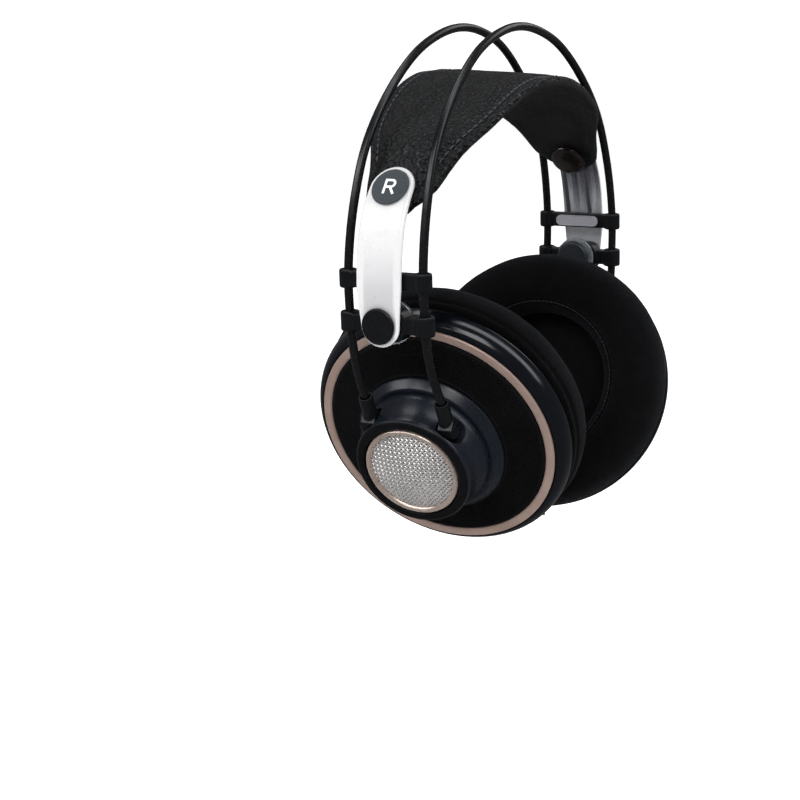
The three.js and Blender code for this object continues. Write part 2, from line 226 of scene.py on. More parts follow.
def thread_material(name, dark, light):
    k = Nodes(name)
    k.set(Specular_IOR_Level=0.35, Sheen_Weight=0.2, Sheen_Roughness=0.4)
    wave = k.node("ShaderNodeTexWave", wave_type="BANDS", bands_direction="DIAGONAL")
    wave.inputs["Scale"].default_value = 1500
    wave.inputs["Distortion"].default_value = 1.0
    k.link(k.coord.outputs["Object"], wave.inputs["Vector"])
    k.colour(k.ramp(wave.outputs["Fac"], [(0.2, dark), (0.8, light)]))
    k.rough(k.span(k.noise(2500), 0.5, 0.75))
    k.bump(wave.outputs["Fac"], 0.5, 0.00008)
    return k.m


def velour_material():
    k = Nodes("velour_black")
    k.set(Specular_IOR_Level=0.08, Sheen_Weight=0.05, Sheen_Roughness=0.38, Sheen_Tint=(0.55, 0.58, 0.66, 1))
    nap = k.noise(45, 5, 0.65)
    pile = k.noise(3800, 3, 0.7)
    tuft = k.node("ShaderNodeTexVoronoi", feature="F1")
    tuft.inputs["Scale"].default_value = 2600
    k.link(k.coord.outputs["Object"], tuft.inputs["Vector"])
    base = k.ramp(nap, [(0.3, (0.0012, 0.0012, 0.0014)), (0.55, (0.0022, 0.0022, 0.0026)), (0.75, (0.0036, 0.0036, 0.0042))])
    mix = k.node("ShaderNodeMix", data_type="RGBA", blend_type="MULTIPLY")
    mix.inputs["Factor"].default_value = 0.6
    k.link(base, mix.inputs[6])
    k.link(k.ramp(pile, [(0.3, 0.45), (0.7, 1.0)]), mix.inputs[7])
    k.colour(mix.outputs[2])
    k.rough(k.span(pile, 0.85, 1.0))
    k.bump(nap, 0.35, 0.0008)
    k.bump(tuft.outputs["Distance"], 0.8, 0.00035)
    k.bump(pile, 0.7, 0.0002)
    return k.m


def strip_material():
    k = Nodes("milky_strip")
    k.set(Specular_IOR_Level=0.5)
    # painted shade: the milky plastic is coloured greyer towards its lower end, by height, and stays white along its
    # lip
    sep = k.node("ShaderNodeSeparateXYZ")
    k.link(k.coord.outputs["Object"], sep.inputs["Vector"])
    low = k.ramp(k.span(sep.outputs["Z"], 0.0, 1.0, -0.0720, -0.0470), [(0.0, (0.69, 0.69, 0.71)), (0.25, (0.72, 0.72, 0.74)), (0.52, (0.85, 0.85, 0.865)), (0.95, (1.0, 1.0, 1.0))])
    side = k.node("ShaderNodeMath", operation="ABSOLUTE")
    k.link(sep.outputs["Y"], side.inputs[0])
    lip = k.span(side.outputs["Value"], 0.0, 1.0, 0.0056, 0.0068)
    shade = k.node("ShaderNodeMix", data_type="RGBA")
    k.link(lip, shade.inputs[0])
    k.link(low, shade.inputs[6])
    shade.inputs[7].default_value = (1.0, 1.0, 1.0, 1.0)
    tint = k.node("ShaderNodeMix", data_type="RGBA", blend_type="MULTIPLY")
    tint.inputs[0].default_value = 1.0
    k.link(k.ramp(k.noise(35, 4, 0.5), [(0.3, (0.545, 0.540, 0.535)), (0.7, (0.580, 0.573, 0.568))]), tint.inputs[6])
    k.link(shade.outputs[2], tint.inputs[7])
    k.colour(tint.outputs[2])
    k.rough(k.span(k.noise(140, 3, 0.6), 0.24, 0.36))
    streak = k.noise(500, 3, 0.5, k.mapping((0.06, 1, 0.06)))
    k.bump(streak, 0.25, 0.00012)
    k.bump(k.noise(6000, 2), 0.06, 0.00005)
    return k.m


def strip_back_material():
    """The inside of the strip, in painted shade: the milky plastic coloured dark grey, near black higher up behind the
    strap's end and paler lower down as painted light from behind, with streaks.
    """
    k = Nodes("strip_inside_shaded")
    k.set(Specular_IOR_Level=0.5)
    sep = k.node("ShaderNodeSeparateXYZ")
    k.link(k.coord.outputs["Object"], sep.inputs["Vector"])
    # painted shade and light: darker towards the top behind the strap's end, paler towards the bottom
    grad = k.span(sep.outputs["Z"], 1.0, 0.0, -0.078, -0.040)
    streak = k.noise(420, 3, 0.6, k.mapping((0.03, 1, 0.03)))
    mix = k.node("ShaderNodeMath", operation="MULTIPLY_ADD")
    k.link(streak, mix.inputs[0])
    mix.inputs[1].default_value = 1.1
    k.link(grad, mix.inputs[2])
    k.colour(k.ramp(mix.outputs["Value"], [(0.36, (0.014, 0.014, 0.019)), (0.56, (0.055, 0.055, 0.066)), (0.78, (0.14, 0.142, 0.16)), (1.0, (0.31, 0.315, 0.335))]))
    k.rough(k.span(k.noise(140, 3, 0.6), 0.20, 0.34))
    k.bump(streak, 0.35, 0.00012)
    return k.m


def metal_material(name, dark, light, rough, brushed=None, strength=0.2, spec=0.5, scale=1.0, metallic=1.0):
    k = Nodes(name)
    k.set(Metallic=metallic, Specular_IOR_Level=spec)
    k.colour(k.ramp(k.noise(70 * scale, 4, 0.6), [(0.3, dark), (0.7, light)]))
    k.rough(k.span(k.noise(180 * scale, 3, 0.6), rough[0], rough[1]))
    if brushed:  # fine turning lines that follow the piece's own turns, from its UV map
        v = k.mapping(brushed, "UV")
        k.bump(k.noise(1.0, 4, 0.6, v), strength, 0.00005)
    else:
        k.bump(k.noise(8000, 2), strength, 0.00004)
    return k.m


def cloth_backing():
    k = Nodes("acoustic_cloth")
    k.set(Specular_IOR_Level=0.1)
    check = k.node("ShaderNodeTexVoronoi", feature="F1")
    check.inputs["Scale"].default_value = 2200
    check.inputs["Randomness"].default_value = 0.15
    k.link(k.coord.outputs["Object"], check.inputs["Vector"])
    k.colour(k.ramp(check.outputs["Distance"], [(0.2, (0.0032, 0.0032, 0.0036)), (0.7, (0.0012, 0.0012, 0.0014))]))
    k.rough(k.span(k.noise(500), 0.85, 0.98))
    k.bump(check.outputs["Distance"], 0.7, 0.0002)
    return k.m


def clear_material():
    k = Nodes("clear_plastic_ring")
    k.set(Transmission_Weight=0.75, IOR=1.49, Specular_IOR_Level=0.5)
    k.colour(k.ramp(k.noise(50), [(0.3, (0.42, 0.45, 0.47)), (0.7, (0.54, 0.57, 0.59))]))
    k.rough(k.span(k.noise(300), 0.10, 0.22))
    k.bump(k.noise(3000, 2), 0.08, 0.00005)
    return k.m


def elastic_material():
    k = Nodes("elastic_braid")
    k.set(Specular_IOR_Level=0.3, Sheen_Weight=0.3, Sheen_Roughness=0.5)
    wave = k.node("ShaderNodeTexWave", wave_type="BANDS", bands_direction="Z")
    wave.inputs["Scale"].default_value = 420
    wave.inputs["Distortion"].default_value = 1.5
    k.link(k.coord.outputs["Object"], wave.inputs["Vector"])
    k.colour(k.ramp(wave.outputs["Fac"], [(0.2, (0.012, 0.012, 0.014)), (0.8, (0.035, 0.035, 0.040))]))
    k.rough(k.span(k.noise(2000), 0.6, 0.8))
    k.bump(wave.outputs["Fac"], 0.5, 0.0001)
    return k.m


LEATHER = leather_material()
LINING = lining_material()
THREAD = thread_material("thread_grey", (0.018, 0.020, 0.025), (0.055, 0.060, 0.072))
VELOUR = velour_material()
SEAM = thread_material("thread_black", (0.0015, 0.0015, 0.0018), (0.004, 0.004, 0.0045))
ROD = moulded_material("rod_skin", (0.0024, 0.0026, 0.0031), (0.0040, 0.0043, 0.0050), (0.22, 0.32), grain=5000, strength=0.08, spec=0.30)
BLACK = moulded_material("black_plastic", (0.0024, 0.0027, 0.0034), (0.0042, 0.0046, 0.0056), (0.26, 0.38), grain=7000, strength=0.14, spec=0.24)
DARK = moulded_material("dark_plastic", (0.009, 0.011, 0.014), (0.013, 0.016, 0.020), (0.32, 0.44), grain=7000, strength=0.12, spec=0.4)
STRIP = strip_material()
STRIP_BACK = strip_back_material()
CLEAR = clear_material()
BADGE = moulded_material("badge_grey", (0.022, 0.028, 0.033), (0.031, 0.038, 0.044), (0.46, 0.58), grain=6000, strength=0.14, spec=0.40)
INK = moulded_material("badge_letter", (0.80, 0.80, 0.81), (0.88, 0.88, 0.89), (0.40, 0.50), grain=6000, strength=0.05, spec=0.4)
RIVET = moulded_material("rivet_gloss", (0.0040, 0.0028, 0.0022), (0.0065, 0.0046, 0.0036), (0.15, 0.22), grain=2500, strength=0.03, spec=0.6)
PLATE = metal_material("plate_satin", (0.34, 0.33, 0.37), (0.42, 0.41, 0.45), (0.34, 0.46), strength=0.10, metallic=0.5)
ELASTIC = elastic_material()
CHAMPAGNE = metal_material("champagne_metal", (0.37, 0.262, 0.222), (0.45, 0.330, 0.282), (0.30, 0.40), brushed=(3.0, 260.0, 1.0), strength=0.22, metallic=0.6)
GLOSS = moulded_material("gloss_black", (0.0014, 0.0018, 0.0032), (0.0022, 0.0028, 0.0048), (0.13, 0.21), grain=1200, strength=0.02, spec=0.36, patch=40)
GRILLE = moulded_material("grille_black", (0.0022, 0.0022, 0.0026), (0.0042, 0.0042, 0.0048), (0.55, 0.72), grain=5000, strength=0.2, spec=0.10)
HUB = moulded_material("hub_satin", (0.0038, 0.0055, 0.0092), (0.0058, 0.0080, 0.0130), (0.25, 0.34), grain=6500, strength=0.12, spec=0.34)
HUB_FACE = moulded_material("hub_face_black", (0.0016, 0.0018, 0.0022), (0.0028, 0.0030, 0.0036), (0.28, 0.40), grain=6500, strength=0.10, spec=0.15)
SILVER = metal_material("silver_metal", (0.42, 0.335, 0.290), (0.54, 0.440, 0.385), (0.22, 0.32), brushed=(3.0, 120.0, 1.0), strength=0.15, metallic=0.7)
WIRE = metal_material("woven_wire", (0.56, 0.535, 0.525), (0.74, 0.710, 0.695), (0.26, 0.38), strength=0.10, metallic=0.75)
CLOTH = cloth_backing()
FELT = moulded_material("felt_grey", (0.020, 0.020, 0.022), (0.045, 0.045, 0.048), (0.9, 1.0), grain=3000, strength=0.9, spec=0.15)
MAGNET = metal_material("magnet_steel", (0.36, 0.37, 0.38), (0.48, 0.49, 0.50), (0.26, 0.38), strength=0.15)
DRIVER = moulded_material("driver_plastic", (0.010, 0.010, 0.012), (0.016, 0.016, 0.019), (0.42, 0.55), grain=6000, strength=0.16)
FILM = moulded_material("diaphragm_film", (0.30, 0.26, 0.19), (0.40, 0.35, 0.26), (0.16, 0.26), grain=2500, strength=0.06)
BAFFLE = moulded_material("baffle_plastic", (0.0050, 0.0052, 0.0060), (0.0085, 0.0088, 0.0100), (0.5, 0.62), grain=5000, strength=0.22)
CONTACT = metal_material("contact_metal", (0.60, 0.44, 0.17), (0.78, 0.60, 0.27), (0.18, 0.28), strength=0.06)

# ------------------------------------------------------------------ mesh helpers
PIECES = {}


def finish_mesh(name, verts, faces, mats, body, replaces=(), angle=32, uvs=None, mat_index=None, ride=True):
    me = bpy.data.meshes.new(name)
    me.from_pydata([tuple(v) for v in verts], [], [tuple(f) for f in faces])
    me.validate()
    if uvs is not None:
        layer = me.uv_layers.new(name="turn")
        flat = np.array(uvs, float)[[l.vertex_index for l in me.loops]]
        layer.data.foreach_set("uv", flat.astype(np.float32).ravel())
    mats = mats if isinstance(mats, (list, tuple)) else [mats]
    for m in mats:
        me.materials.append(m)
    if mat_index is not None:
        me.polygons.foreach_set("material_index", np.array(mat_index, np.int32))
    o = bpy.data.objects.new(name, me)
    bpy.context.scene.collection.objects.link(o)
    tidy(o, angle)
    if ride:
        settle(o, body, replaces)
    PIECES[name] = o
    return o


def tidy(o, angle=32):
    bm = bmesh.new()
    bm.from_mesh(o.data)
    bmesh.ops.remove_doubles(bm, verts=bm.verts, dist=2e-7)
    bmesh.ops.recalc_face_normals(bm, faces=bm.faces)
    bm.to_mesh(o.data)
    bm.free()
    for p in o.data.polygons:
        p.use_smooth = True
    o.data.set_sharp_from_angle(angle=math.radians(angle))
    o.data.update()


def settle(o, body, replaces=()):
    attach(o, body)
    if replaces:
        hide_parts(*replaces)
    return o


def bake_modifiers(o):
    dg = bpy.context.evaluated_depsgraph_get()
    me = bpy.data.meshes.new_from_object(o.evaluated_get(dg), preserve_all_data_layers=True, depsgraph=dg)
    old = o.data
    o.modifiers.clear()
    o.data = me
    bpy.data.meshes.remove(old)
    return o


def soften(pts, d, closed, n=4):
    """A profile with its corners rounded: d is the distance cut back along each edge, one number or one per point."""
    P = [Vector(p) for p in pts]
    m = len(P)
    ds = d if isinstance(d, (list, tuple)) else [d] * m
    out = []
    for i in range(m):
        if not closed and i in (0, m - 1):
            out.append(P[i])
            continue
        a, b, c = P[i - 1], P[i], P[(i + 1) % m]
        la, lc = (a - b).length, (c - b).length
        k = min(ds[i], 0.46 * la, 0.46 * lc)
        if k < 1e-4:
            out.append(b)
            continue
        s, e = b + (a - b) * (k / la), b + (c - b) * (k / lc)
        for j in range(n + 1):
            t = j / n
            out.append(s * (1 - t) ** 2 + b * 2 * t * (1 - t) + e * t * t)
    return out


def lathe_data(profile, seg, d=0.25, fine=4, matrix=None):
    """Vertices, faces and UVs (turns, distance along the profile in mm) of a piece turned about local z."""
    on_axis = abs(profile[0][0]) < 1e-9 and abs(profile[-1][0]) < 1e-9
    pts = soften(profile, d, not on_axis, fine)
    n = len(pts)
    length = [0.0]
    for i in range(1, n):
        length.append(length[-1] + (pts[i] - pts[i - 1]).length)
    verts, uvs, faces, index = [], [], [], {}
    for i, p in enumerate(pts):
        if on_axis and i in (0, n - 1):
            index[i] = [len(verts)] * seg
            verts.append(Vector((0, 0, p.y)))
            uvs.append((0, length[i]))
        else:
            index[i] = list(range(len(verts), len(verts) + seg))
            for j in range(seg):
                th = 2 * math.pi * j / seg
                verts.append(Vector((p.x * math.cos(th), p.x * math.sin(th), p.y)))
                uvs.append((min(j, seg - j) / seg * 2 * math.pi * p.x, length[i]))
    for i in range(n if not on_axis else n - 1):
        a, b = index[i], index[(i + 1) % n]
        for j in range(seg):
            k = (j + 1) % seg
            f = [a[j], b[j], b[k], a[k]]
            f = list(dict.fromkeys(f))
            if len(f) > 2:
                faces.append(f)
    if matrix is not None:
        verts = [matrix @ v for v in verts]
    return verts, faces, uvs


def lathe(name, profile, matrix, mat, body, slot, replaces=(), seg=128, d=0.25, angle=32, ride=True, fine=4):
    verts, faces, uvs = lathe_data(profile, seg, d, fine, matrix)
    return finish_mesh(name, verts, faces, mat, body, replaces, angle, uvs, ride=ride)


def merged(parts):
    verts, faces = [], []
    for v, f in parts:
        k = len(verts)
        verts += list(v)
        faces += [[i + k for i in q] for q in f]
    return verts, faces


def frames_along(path):
    """Tangents and transported normals along a list of points."""
    n = len(path)
    tan = [(path[min(i + 1, n - 1)] - path[max(i - 1, 0)]).normalized() for i in range(n)]
    ref = Vector((0, 1, 0)) if abs(tan[0].y) < 0.9 else Vector((1, 0, 0))
    nor = [(ref - tan[0] * ref.dot(tan[0])).normalized()]
    for i in range(1, n):
        v = nor[-1] - tan[i] * nor[-1].dot(tan[i])
        nor.append(v.normalized())
    return tan, nor


def tube_data(path, radius, sides=16, cap=True):
    path = [Vector(p) for p in path]
    tan, nor = frames_along(path)
    rs = radius if hasattr(radius, "__len__") else [radius] * len(path)
    verts, faces = [], []
    for p, t, n, r in zip(path, tan, nor, rs):
        b = t.cross(n)
        for j in range(sides):
            th = 2 * math.pi * j / sides
            verts.append(p + (n * math.cos(th) + b * math.sin(th)) * r)
    for i in range(len(path) - 1):
        for j in range(sides):
            k = (j + 1) % sides
            faces.append([i * sides + j, i * sides + k, (i + 1) * sides + k, (i + 1) * sides + j])
    if cap:
        faces.append(list(range(sides))[::-1])
        faces.append(list(range((len(path) - 1) * sides, len(path) * sides)))
    return verts, faces


def object_from(name, data, matrix=None):
    verts, faces = data[0], data[1]
    if matrix is not None:
        verts = [matrix @ v for v in verts]
    me = bpy.data.meshes.new(name)
    me.from_pydata([tuple(v) for v in verts], [], [tuple(f) for f in faces])
    me.validate()
    bm = bmesh.new()
    bm.from_mesh(me)
    bmesh.ops.remove_doubles(bm, verts=bm.verts, dist=1e-7)
    bmesh.ops.recalc_face_normals(bm, faces=bm.faces)
    bm.to_mesh(me)
    bm.free()
    o = bpy.data.objects.new(name, me)
    bpy.context.scene.collection.objects.link(o)
    return o


def moulded(name, add, cut, mat, body, replaces=(), voxel=0.32, smooth=4, matrix=None, angle=180, ride=True):
    """One moulded piece: the add solids joined, the cut solids taken away, and every edge softened by a fine remesh.
    Solids come in drawing millimetres and are worked on at that scale."""
    base = object_from(name, add[0])
    helpers = []
    for kind, group in (("UNION", add[1:]), ("DIFFERENCE", cut)):
        for i, data in enumerate(group):
            h = object_from(f"{name}_{kind}_{i}", data)
            helpers.append(h)
            m = base.modifiers.new("b", "BOOLEAN")
            m.operation, m.object, m.solver = kind, h, "EXACT"
    if voxel:
        m = base.modifiers.new("r", "REMESH")
        m.mode, m.voxel_size, m.use_smooth_shade = "VOXEL", voxel, True
        m = base.modifiers.new("s", "SMOOTH")
        m.factor, m.iterations = 0.5, smooth
    bake_modifiers(base)
    for h in helpers:
        bpy.data.objects.remove(h)
    base.data.transform(matrix if matrix is not None else TO_M)
    base.data.materials.clear()
    base.data.materials.append(mat)
    for p in base.data.polygons:
        p.use_smooth = True
        p.material_index = 0
    if angle < 180:
        base.data.set_sharp_from_angle(angle=math.radians(angle))
    if ride:
        settle(base, body, replaces)
    PIECES[name] = base
    return base


def slab(w, h, x0, x1, r, z=0.0, y=0.0, n=8, side=1):
    """A rounded plate in the Y-Z plane from x0 to x1, w along Y and h along Z."""
    ring = []
    for cx, cy, a0 in ((w / 2 - r, -h / 2 + r, -90), (w / 2 - r, h / 2 - r, 0), (-w / 2 + r, h / 2 - r, 90), (-w / 2 + r, -h / 2 + r, 180)):
        for j in range(n + 1):
            th = math.radians(a0 + 90 * j / n)
            ring.append((cx + r * math.cos(th), cy + r * math.sin(th)))
    m = len(ring)
    verts = [Vector((side * x, y + a, z + b)) for x in (x0, x1) for a, b in ring]
    faces = [list(range(m)), list(range(2 * m - 1, m - 1, -1))]
    faces += [[j, (j + 1) % m, m + (j + 1) % m, m + j] for j in range(m)]
    return verts, faces


def turned_at(profile, origin, direction, seg=48, d=0.3, fine=4):
    """A turned solid in drawing millimetres, for moulded()."""
    z = Vector(direction).normalized()
    up = Vector((0, 0, 1)) if abs(z.z) < 0.9 else Vector((0, 1, 0))
    x = up.cross(z).normalized()
    y = z.cross(x)
    v, f, _ = lathe_data(profile, seg, d, fine)
    o = Vector(origin)
    return [o + x * p.x + y * p.y + z * p.z for p in v], f


def spline(points, count, closed=False):
    """Centripetal Catmull-Rom through points, the same curve as the CAD's, at evenly spaced parameters."""
    P = [Vector(p) for p in points]
    n = len(P)
    out = []
    for i in range(count):
        pt = (n - 1) * i / (count - 1)
        k = min(int(pt), n - 2)
        w = pt - k
        p1, p2 = P[k], P[k + 1]
        p0 = P[k - 1] if k > 0 else P[0] * 2 - P[1]
        p3 = P[k + 2] if k + 2 < n else P[-1] * 2 - P[-2]
        dt0, dt1, dt2 = (max((a - b).length_squared, 1e-12) ** 0.25 for a, b in ((p1, p0), (p2, p1), (p3, p2)))
        t1 = ((p1 - p0) / dt0 - (p2 - p0) / (dt0 + dt1) + (p2 - p1) / dt1) * dt1
        t2 = ((p2 - p1) / dt1 - (p3 - p1) / (dt1 + dt2) + (p3 - p2) / dt2) * dt1
        c2 = (p2 - p1) * 3 - t1 * 2 - t2
        c3 = (p1 - p2) * 2 + t1 + t2
        out.append(p1 + t1 * w + c2 * w * w + c3 * w ** 3)
    return out


def even(path, count):
    """The same path with points an even distance apart."""
    P = np.array([list(p) for p in path], float)
    s = np.r_[0, np.cumsum(np.linalg.norm(np.diff(P, axis=0), axis=1))]
    q = np.linspace(0, s[-1], count)
    return [Vector(tuple(np.interp(x, s, P[:, k]) for k in range(P.shape[1]))) for x in q], s[-1]


def smoothstep(x):
    x = min(max(x, 0.0), 1.0)
    return x * x * (3 - 2 * x)


# ------------------------------------------------------------------ camera
YAW, PITCH, ROLL = 0.5367, 0.2420, -0.0291
_f = Vector((math.cos(YAW) * math.cos(PITCH), math.sin(YAW) * math.cos(PITCH), -math.sin(PITCH)))
_r = Vector((math.sin(YAW), -math.cos(YAW), 0))
_u = _r.cross(_f)
_r2 = _r * math.cos(ROLL) + _u * math.sin(ROLL)
_u2 = -_r * math.sin(ROLL) + _u * math.cos(ROLL)
cam = bpy.data.cameras.new("camera")
cam.lens, cam.sensor_width = 73.42, 36.0
cam.clip_start, cam.clip_end = 0.01, 50
cam_obj = bpy.data.objects.new("camera", cam)
bpy.context.scene.collection.objects.link(cam_obj)
_m = Matrix(((_r2.x, _u2.x, -_f.x), (_r2.y, _u2.y, -_f.y), (_r2.z, _u2.z, -_f.z))).to_4x4()
_m.translation = Vector((-0.57703, -0.29803, 0.03555))
cam_obj.matrix_world = _m
bpy.context.scene.camera = cam_obj

# ------------------------------------------------------------------ leather strap
STRAP_MID = [
    (0, 82.6, 28), (10, 82.6, 28), (20, 80.9, 28), (30, 78.4, 27.8), (38, 76.0, 27.0), (46, 73.3, 26),
    (52, 71.2, 24.8), (57.5, 69.0, 23.0), (62.5, 66.4, 21.0), (66.3, 63.2, 19.2), (69.6, 59.5, 17.6), (72.7, 55.3, 16.2), (75.7, 51.3, 14.9),
    (78.3, 48.0, 13.1), (80.5, 45.1, 11.6), (82.0, 42.6, 8.8), (82.8, 41.1, 6.0),
]
# how far the edges curl in towards the head, at the same stations
STRAP_CURL = [0, 0, 0, 0.3, 0.9, 1.8, 2.7, 3.6, 4.5, 4.9, 4.9, 4.4, 3.5, 2.2, 0.9, 0.2, 0]


def strap_surface():
    half = [Vector((x, z, w, c)) for (x, z, w), c in zip(STRAP_MID, STRAP_CURL)]
    left = [Vector((-p[0], p[1], p[2], p[3])) for p in half[:0:-1]]
    dense = spline([Vector((p[0], p[1], 0)) for p in left + half], 900)
    P = np.array([[p.x, p.y] for p in dense])
    t = np.linspace(0, len(left + half) - 1, 900)
    ctrl = np.array([[p[2], p[3]] for p in left + half])
    wc = np.stack([np.interp(t, np.arange(len(ctrl)), ctrl[:, k]) for k in range(2)], 1)
    s = np.r_[0, np.cumsum(np.linalg.norm(np.diff(P, axis=0), axis=1))]
    n = 300
    q = np.linspace(0, s[-1], n)
    kern = np.hanning(25)
    kern /= kern.sum()
    pad = np.pad(wc, ((12, 12), (0, 0)), mode="edge")
    wcs = np.stack([np.convolve(pad[:, k], kern, "valid") for k in range(2)], 1)
    mid = np.stack([np.interp(q, s, P[:, k]) for k in range(2)], 1)
    w = np.interp(q, s, wcs[:, 0])
    c = np.interp(q, s, wcs[:, 1])
    tan = np.gradient(mid, axis=0)
    tan /= np.linalg.norm(tan, axis=1)[:, None]
    nor = np.stack([-tan[:, 1], tan[:, 0]], 1)  # away from the head
    return q, mid, nor, w, c, s[-1]


STRAP_Q, STRAP_P, STRAP_N, STRAP_W, STRAP_C, STRAP_LEN = strap_surface()
STITCH_IN = 4.0  # the stitch line, in from the edge


_strap_slope = np.gradient(STRAP_W) / (STRAP_LEN / (len(STRAP_Q) - 1))


def strap_point(i, y, up):
    """A point on the strap: station i, width y, up from its middle surface."""
    x, z = STRAP_P[i]
    nx, nz = STRAP_N[i]
    a = abs(y)
    curl = STRAP_C[i] * smoothstep((a - 4.0) / max(STRAP_W[i] - 4.0, 1)) ** 1.2
    crown = math.exp(-((x / 42.0) ** 4))
    lift = crown * (2.7 + 1.5 * y / 28.0)
    if up < 0:
        lift = crown * (1.2 + 0.75 * y / 28.0)
    wrinkle = 0.22 * noise.noise(Vector((x * 0.06, y * 0.09, z * 0.06))) + 0.10 * noise.noise(Vector((x * 0.2, y * 0.25, 7.0)))
    h = up - curl + wrinkle
    return Vector((x + nx * h, y, z + nz * h + lift))


def build_strap():
    n = len(STRAP_Q)
    across = 66
    T = 1.5
    verts, faces, mats = [], [], []
    cols = []
    for k in range(across + 1):  # top face, closely spaced at the edges
        v = -math.cos(math.pi * k / across)
        v = 0.55 * v + 0.45 * (2 * k / across - 1)
        cols.append((v, 1))
    for v, _ in cols[-2:0:-1]:
        cols.append((v, -1))
    m = len(cols)
    for i in range(n):
        for v, side in cols:
            y = v * STRAP_W[i]
            e = min((STRAP_W[i] - abs(y)) / math.sqrt(1 + _strap_slope[i] ** 2), min(STRAP_Q[i], STRAP_LEN - STRAP_Q[i]))
            e = max(e, 0.0)
            r = 1.15
            edge = math.sqrt(max(0.0, 1 - (1 - min(e / r, 1.0)) ** 2))
            if side > 0:
                up = 0.12 + (T - 0.12) * edge
                up += 0.42 * smoothstep((e - STITCH_IN) / 5.0)  # the padded middle
                up -= 0.42 * math.exp(-(((e - STITCH_IN) / 0.75) ** 2)) * edge  # pulled in along the stitches
            else:
                up = -0.12 - (T - 0.12) * edge
                up += 0.25 * math.exp(-(((e - STITCH_IN) / 0.8) ** 2)) * edge
            if abs(v) > 0.9999:
                up = 0.0
            verts.append(TO_M @ strap_point(i, y, up))
    for i in range(n - 1):
        for k in range(m):
            a, b = i * m + k, i * m + (k + 1) % m
            faces.append([a, b, b + m, a + m])
            mats.append(0 if k < across else 1)
    # close both ends between the top and the underside
    for base, flip in ((0, False), ((n - 1) * m, True)):
        for k in range(across):
            top = [base + k, base + k + 1]
            low = [base + (m - k) % m, base + (m - k - 1) % m]
            f = list(dict.fromkeys([top[0], low[0], low[1], top[1]]))
            if len(f) > 2:
                faces.append(f if not flip else f[::-1])
                mats.append(0)
    return finish_mesh("strap_leather", verts, faces, [LEATHER, LINING], "strap", ["headband_strap"], angle=70, mat_index=mats)


build_strap()


def build_stitches():
    """Saddle stitches sunk in the groove along both edges, each its own short thread."""
    parts = []
    n = len(STRAP_Q)
    step = STRAP_LEN / (n - 1)
    for sgn in (-1, 1):
        line = []
        for i in range(n):
            off = STITCH_IN * math.sqrt(1 + _strap_slope[i] ** 2)
            y = STRAP_W[i] - off
            if y < 3 or min(STRAP_Q[i], STRAP_LEN - STRAP_Q[i]) < 22.0:
                continue
            line.append(strap_point(i, sgn * y, 1.5 - 0.12))
        pts, length = even(line, len(line) * 4)
        count = int(length / 3.3)
        per = len(pts) / count
        for c in range(count):
            a, b = int(c * per + 0.12 * per), int(c * per + 0.86 * per)
            seg = pts[a:b + 1]
            if len(seg) < 4:
                continue
            seg = [seg[round(j * (len(seg) - 1) / 6)] for j in range(7)]
            path, radii = [], []
            for j, p in enumerate(seg):
                s = j / 6
                nx, nz = Vector((p.x, 0, p.z - 30)).normalized().x, Vector((p.x, 0, p.z - 30)).normalized().z
                dip = -0.38 * (2 * s - 1) ** 4
                path.append(p + Vector((nx, 0, nz)) * (0.14 + dip))
                radii.append(0.30 * (1 - 0.45 * (2 * s - 1) ** 4))
            parts.append(tube_data(path, radii, 8))
    verts, faces = merged(parts)
    return finish_mesh("strap_stitching", [TO_M @ v for v in verts], faces, THREAD, "strap", angle=80)


build_stitches()

# ------------------------------------------------------------------ sprung arches
ROD_R = 1.7
ROD_X = [(15.5, 103.7), (34.1, 97.9), (49.7, 88.5), (64.1, 75.8), (73.9, 63.2), (80.8, 47.4), (85.1, 31.6), (87.0, 15.8), (86.4, 0), (85.7, -8), (82.6, -20.5)]
END_BLEND = [0] * 10 + [0.45]
END = Vector((ROD_X[-1][0] - PIV[0], 0, ROD_X[-1][1] - PIV[1])).normalized()


def rod_y(z):
    return 16.2 if z <= 0 else 16.2 - 3.2 * (z / 105.3) ** 2


def rod_points(s):
    def half(sx):
        pts = [swivelled((sx * x, s * rod_y(z), z), sx, e) for (x, z), e in zip(ROD_X, END_BLEND)]
        pts += [swivelled((sx * (PIV[0] + END.x * d), s * 16.2, PIV[1] + END.z * d), sx) for d in (12, 5.0)]
        return pts
    return half(-1)[::-1] + [Vector((0, s * 13.0, 105.3))] + half(1)


for _name, _s in (("arch_rod_front", -1), ("arch_rod_rear", 1)):
    _pts, _len = even(spline(rod_points(_s), 1400), 420)
    _v, _f2 = tube_data(_pts, ROD_R, 28)
    finish_mesh(_name + "_skin", [TO_M @ v for v in _v], _f2, ROD, "bow", [_name], angle=50)

# ------------------------------------------------------------------ crossbars, sliders, strips, badges
LOWER_X, UPPER_X, UPPER_Z = 86.4, 87.0, 16.4
STRIP_PTS = [(91.4, -9.3), (91.45, -6), (91.5, 0), (91.8, 8), (91.6, 16.4), (90.6, 26), (88.2, 36), (84.4, 44.1), (80.4, 49.4), (78.2, 52.2), (74.7, 56.65)]
STRIP_R, STRIP_R_LOW, STRIP_R_MID = 9.3, 8.15, 9.6


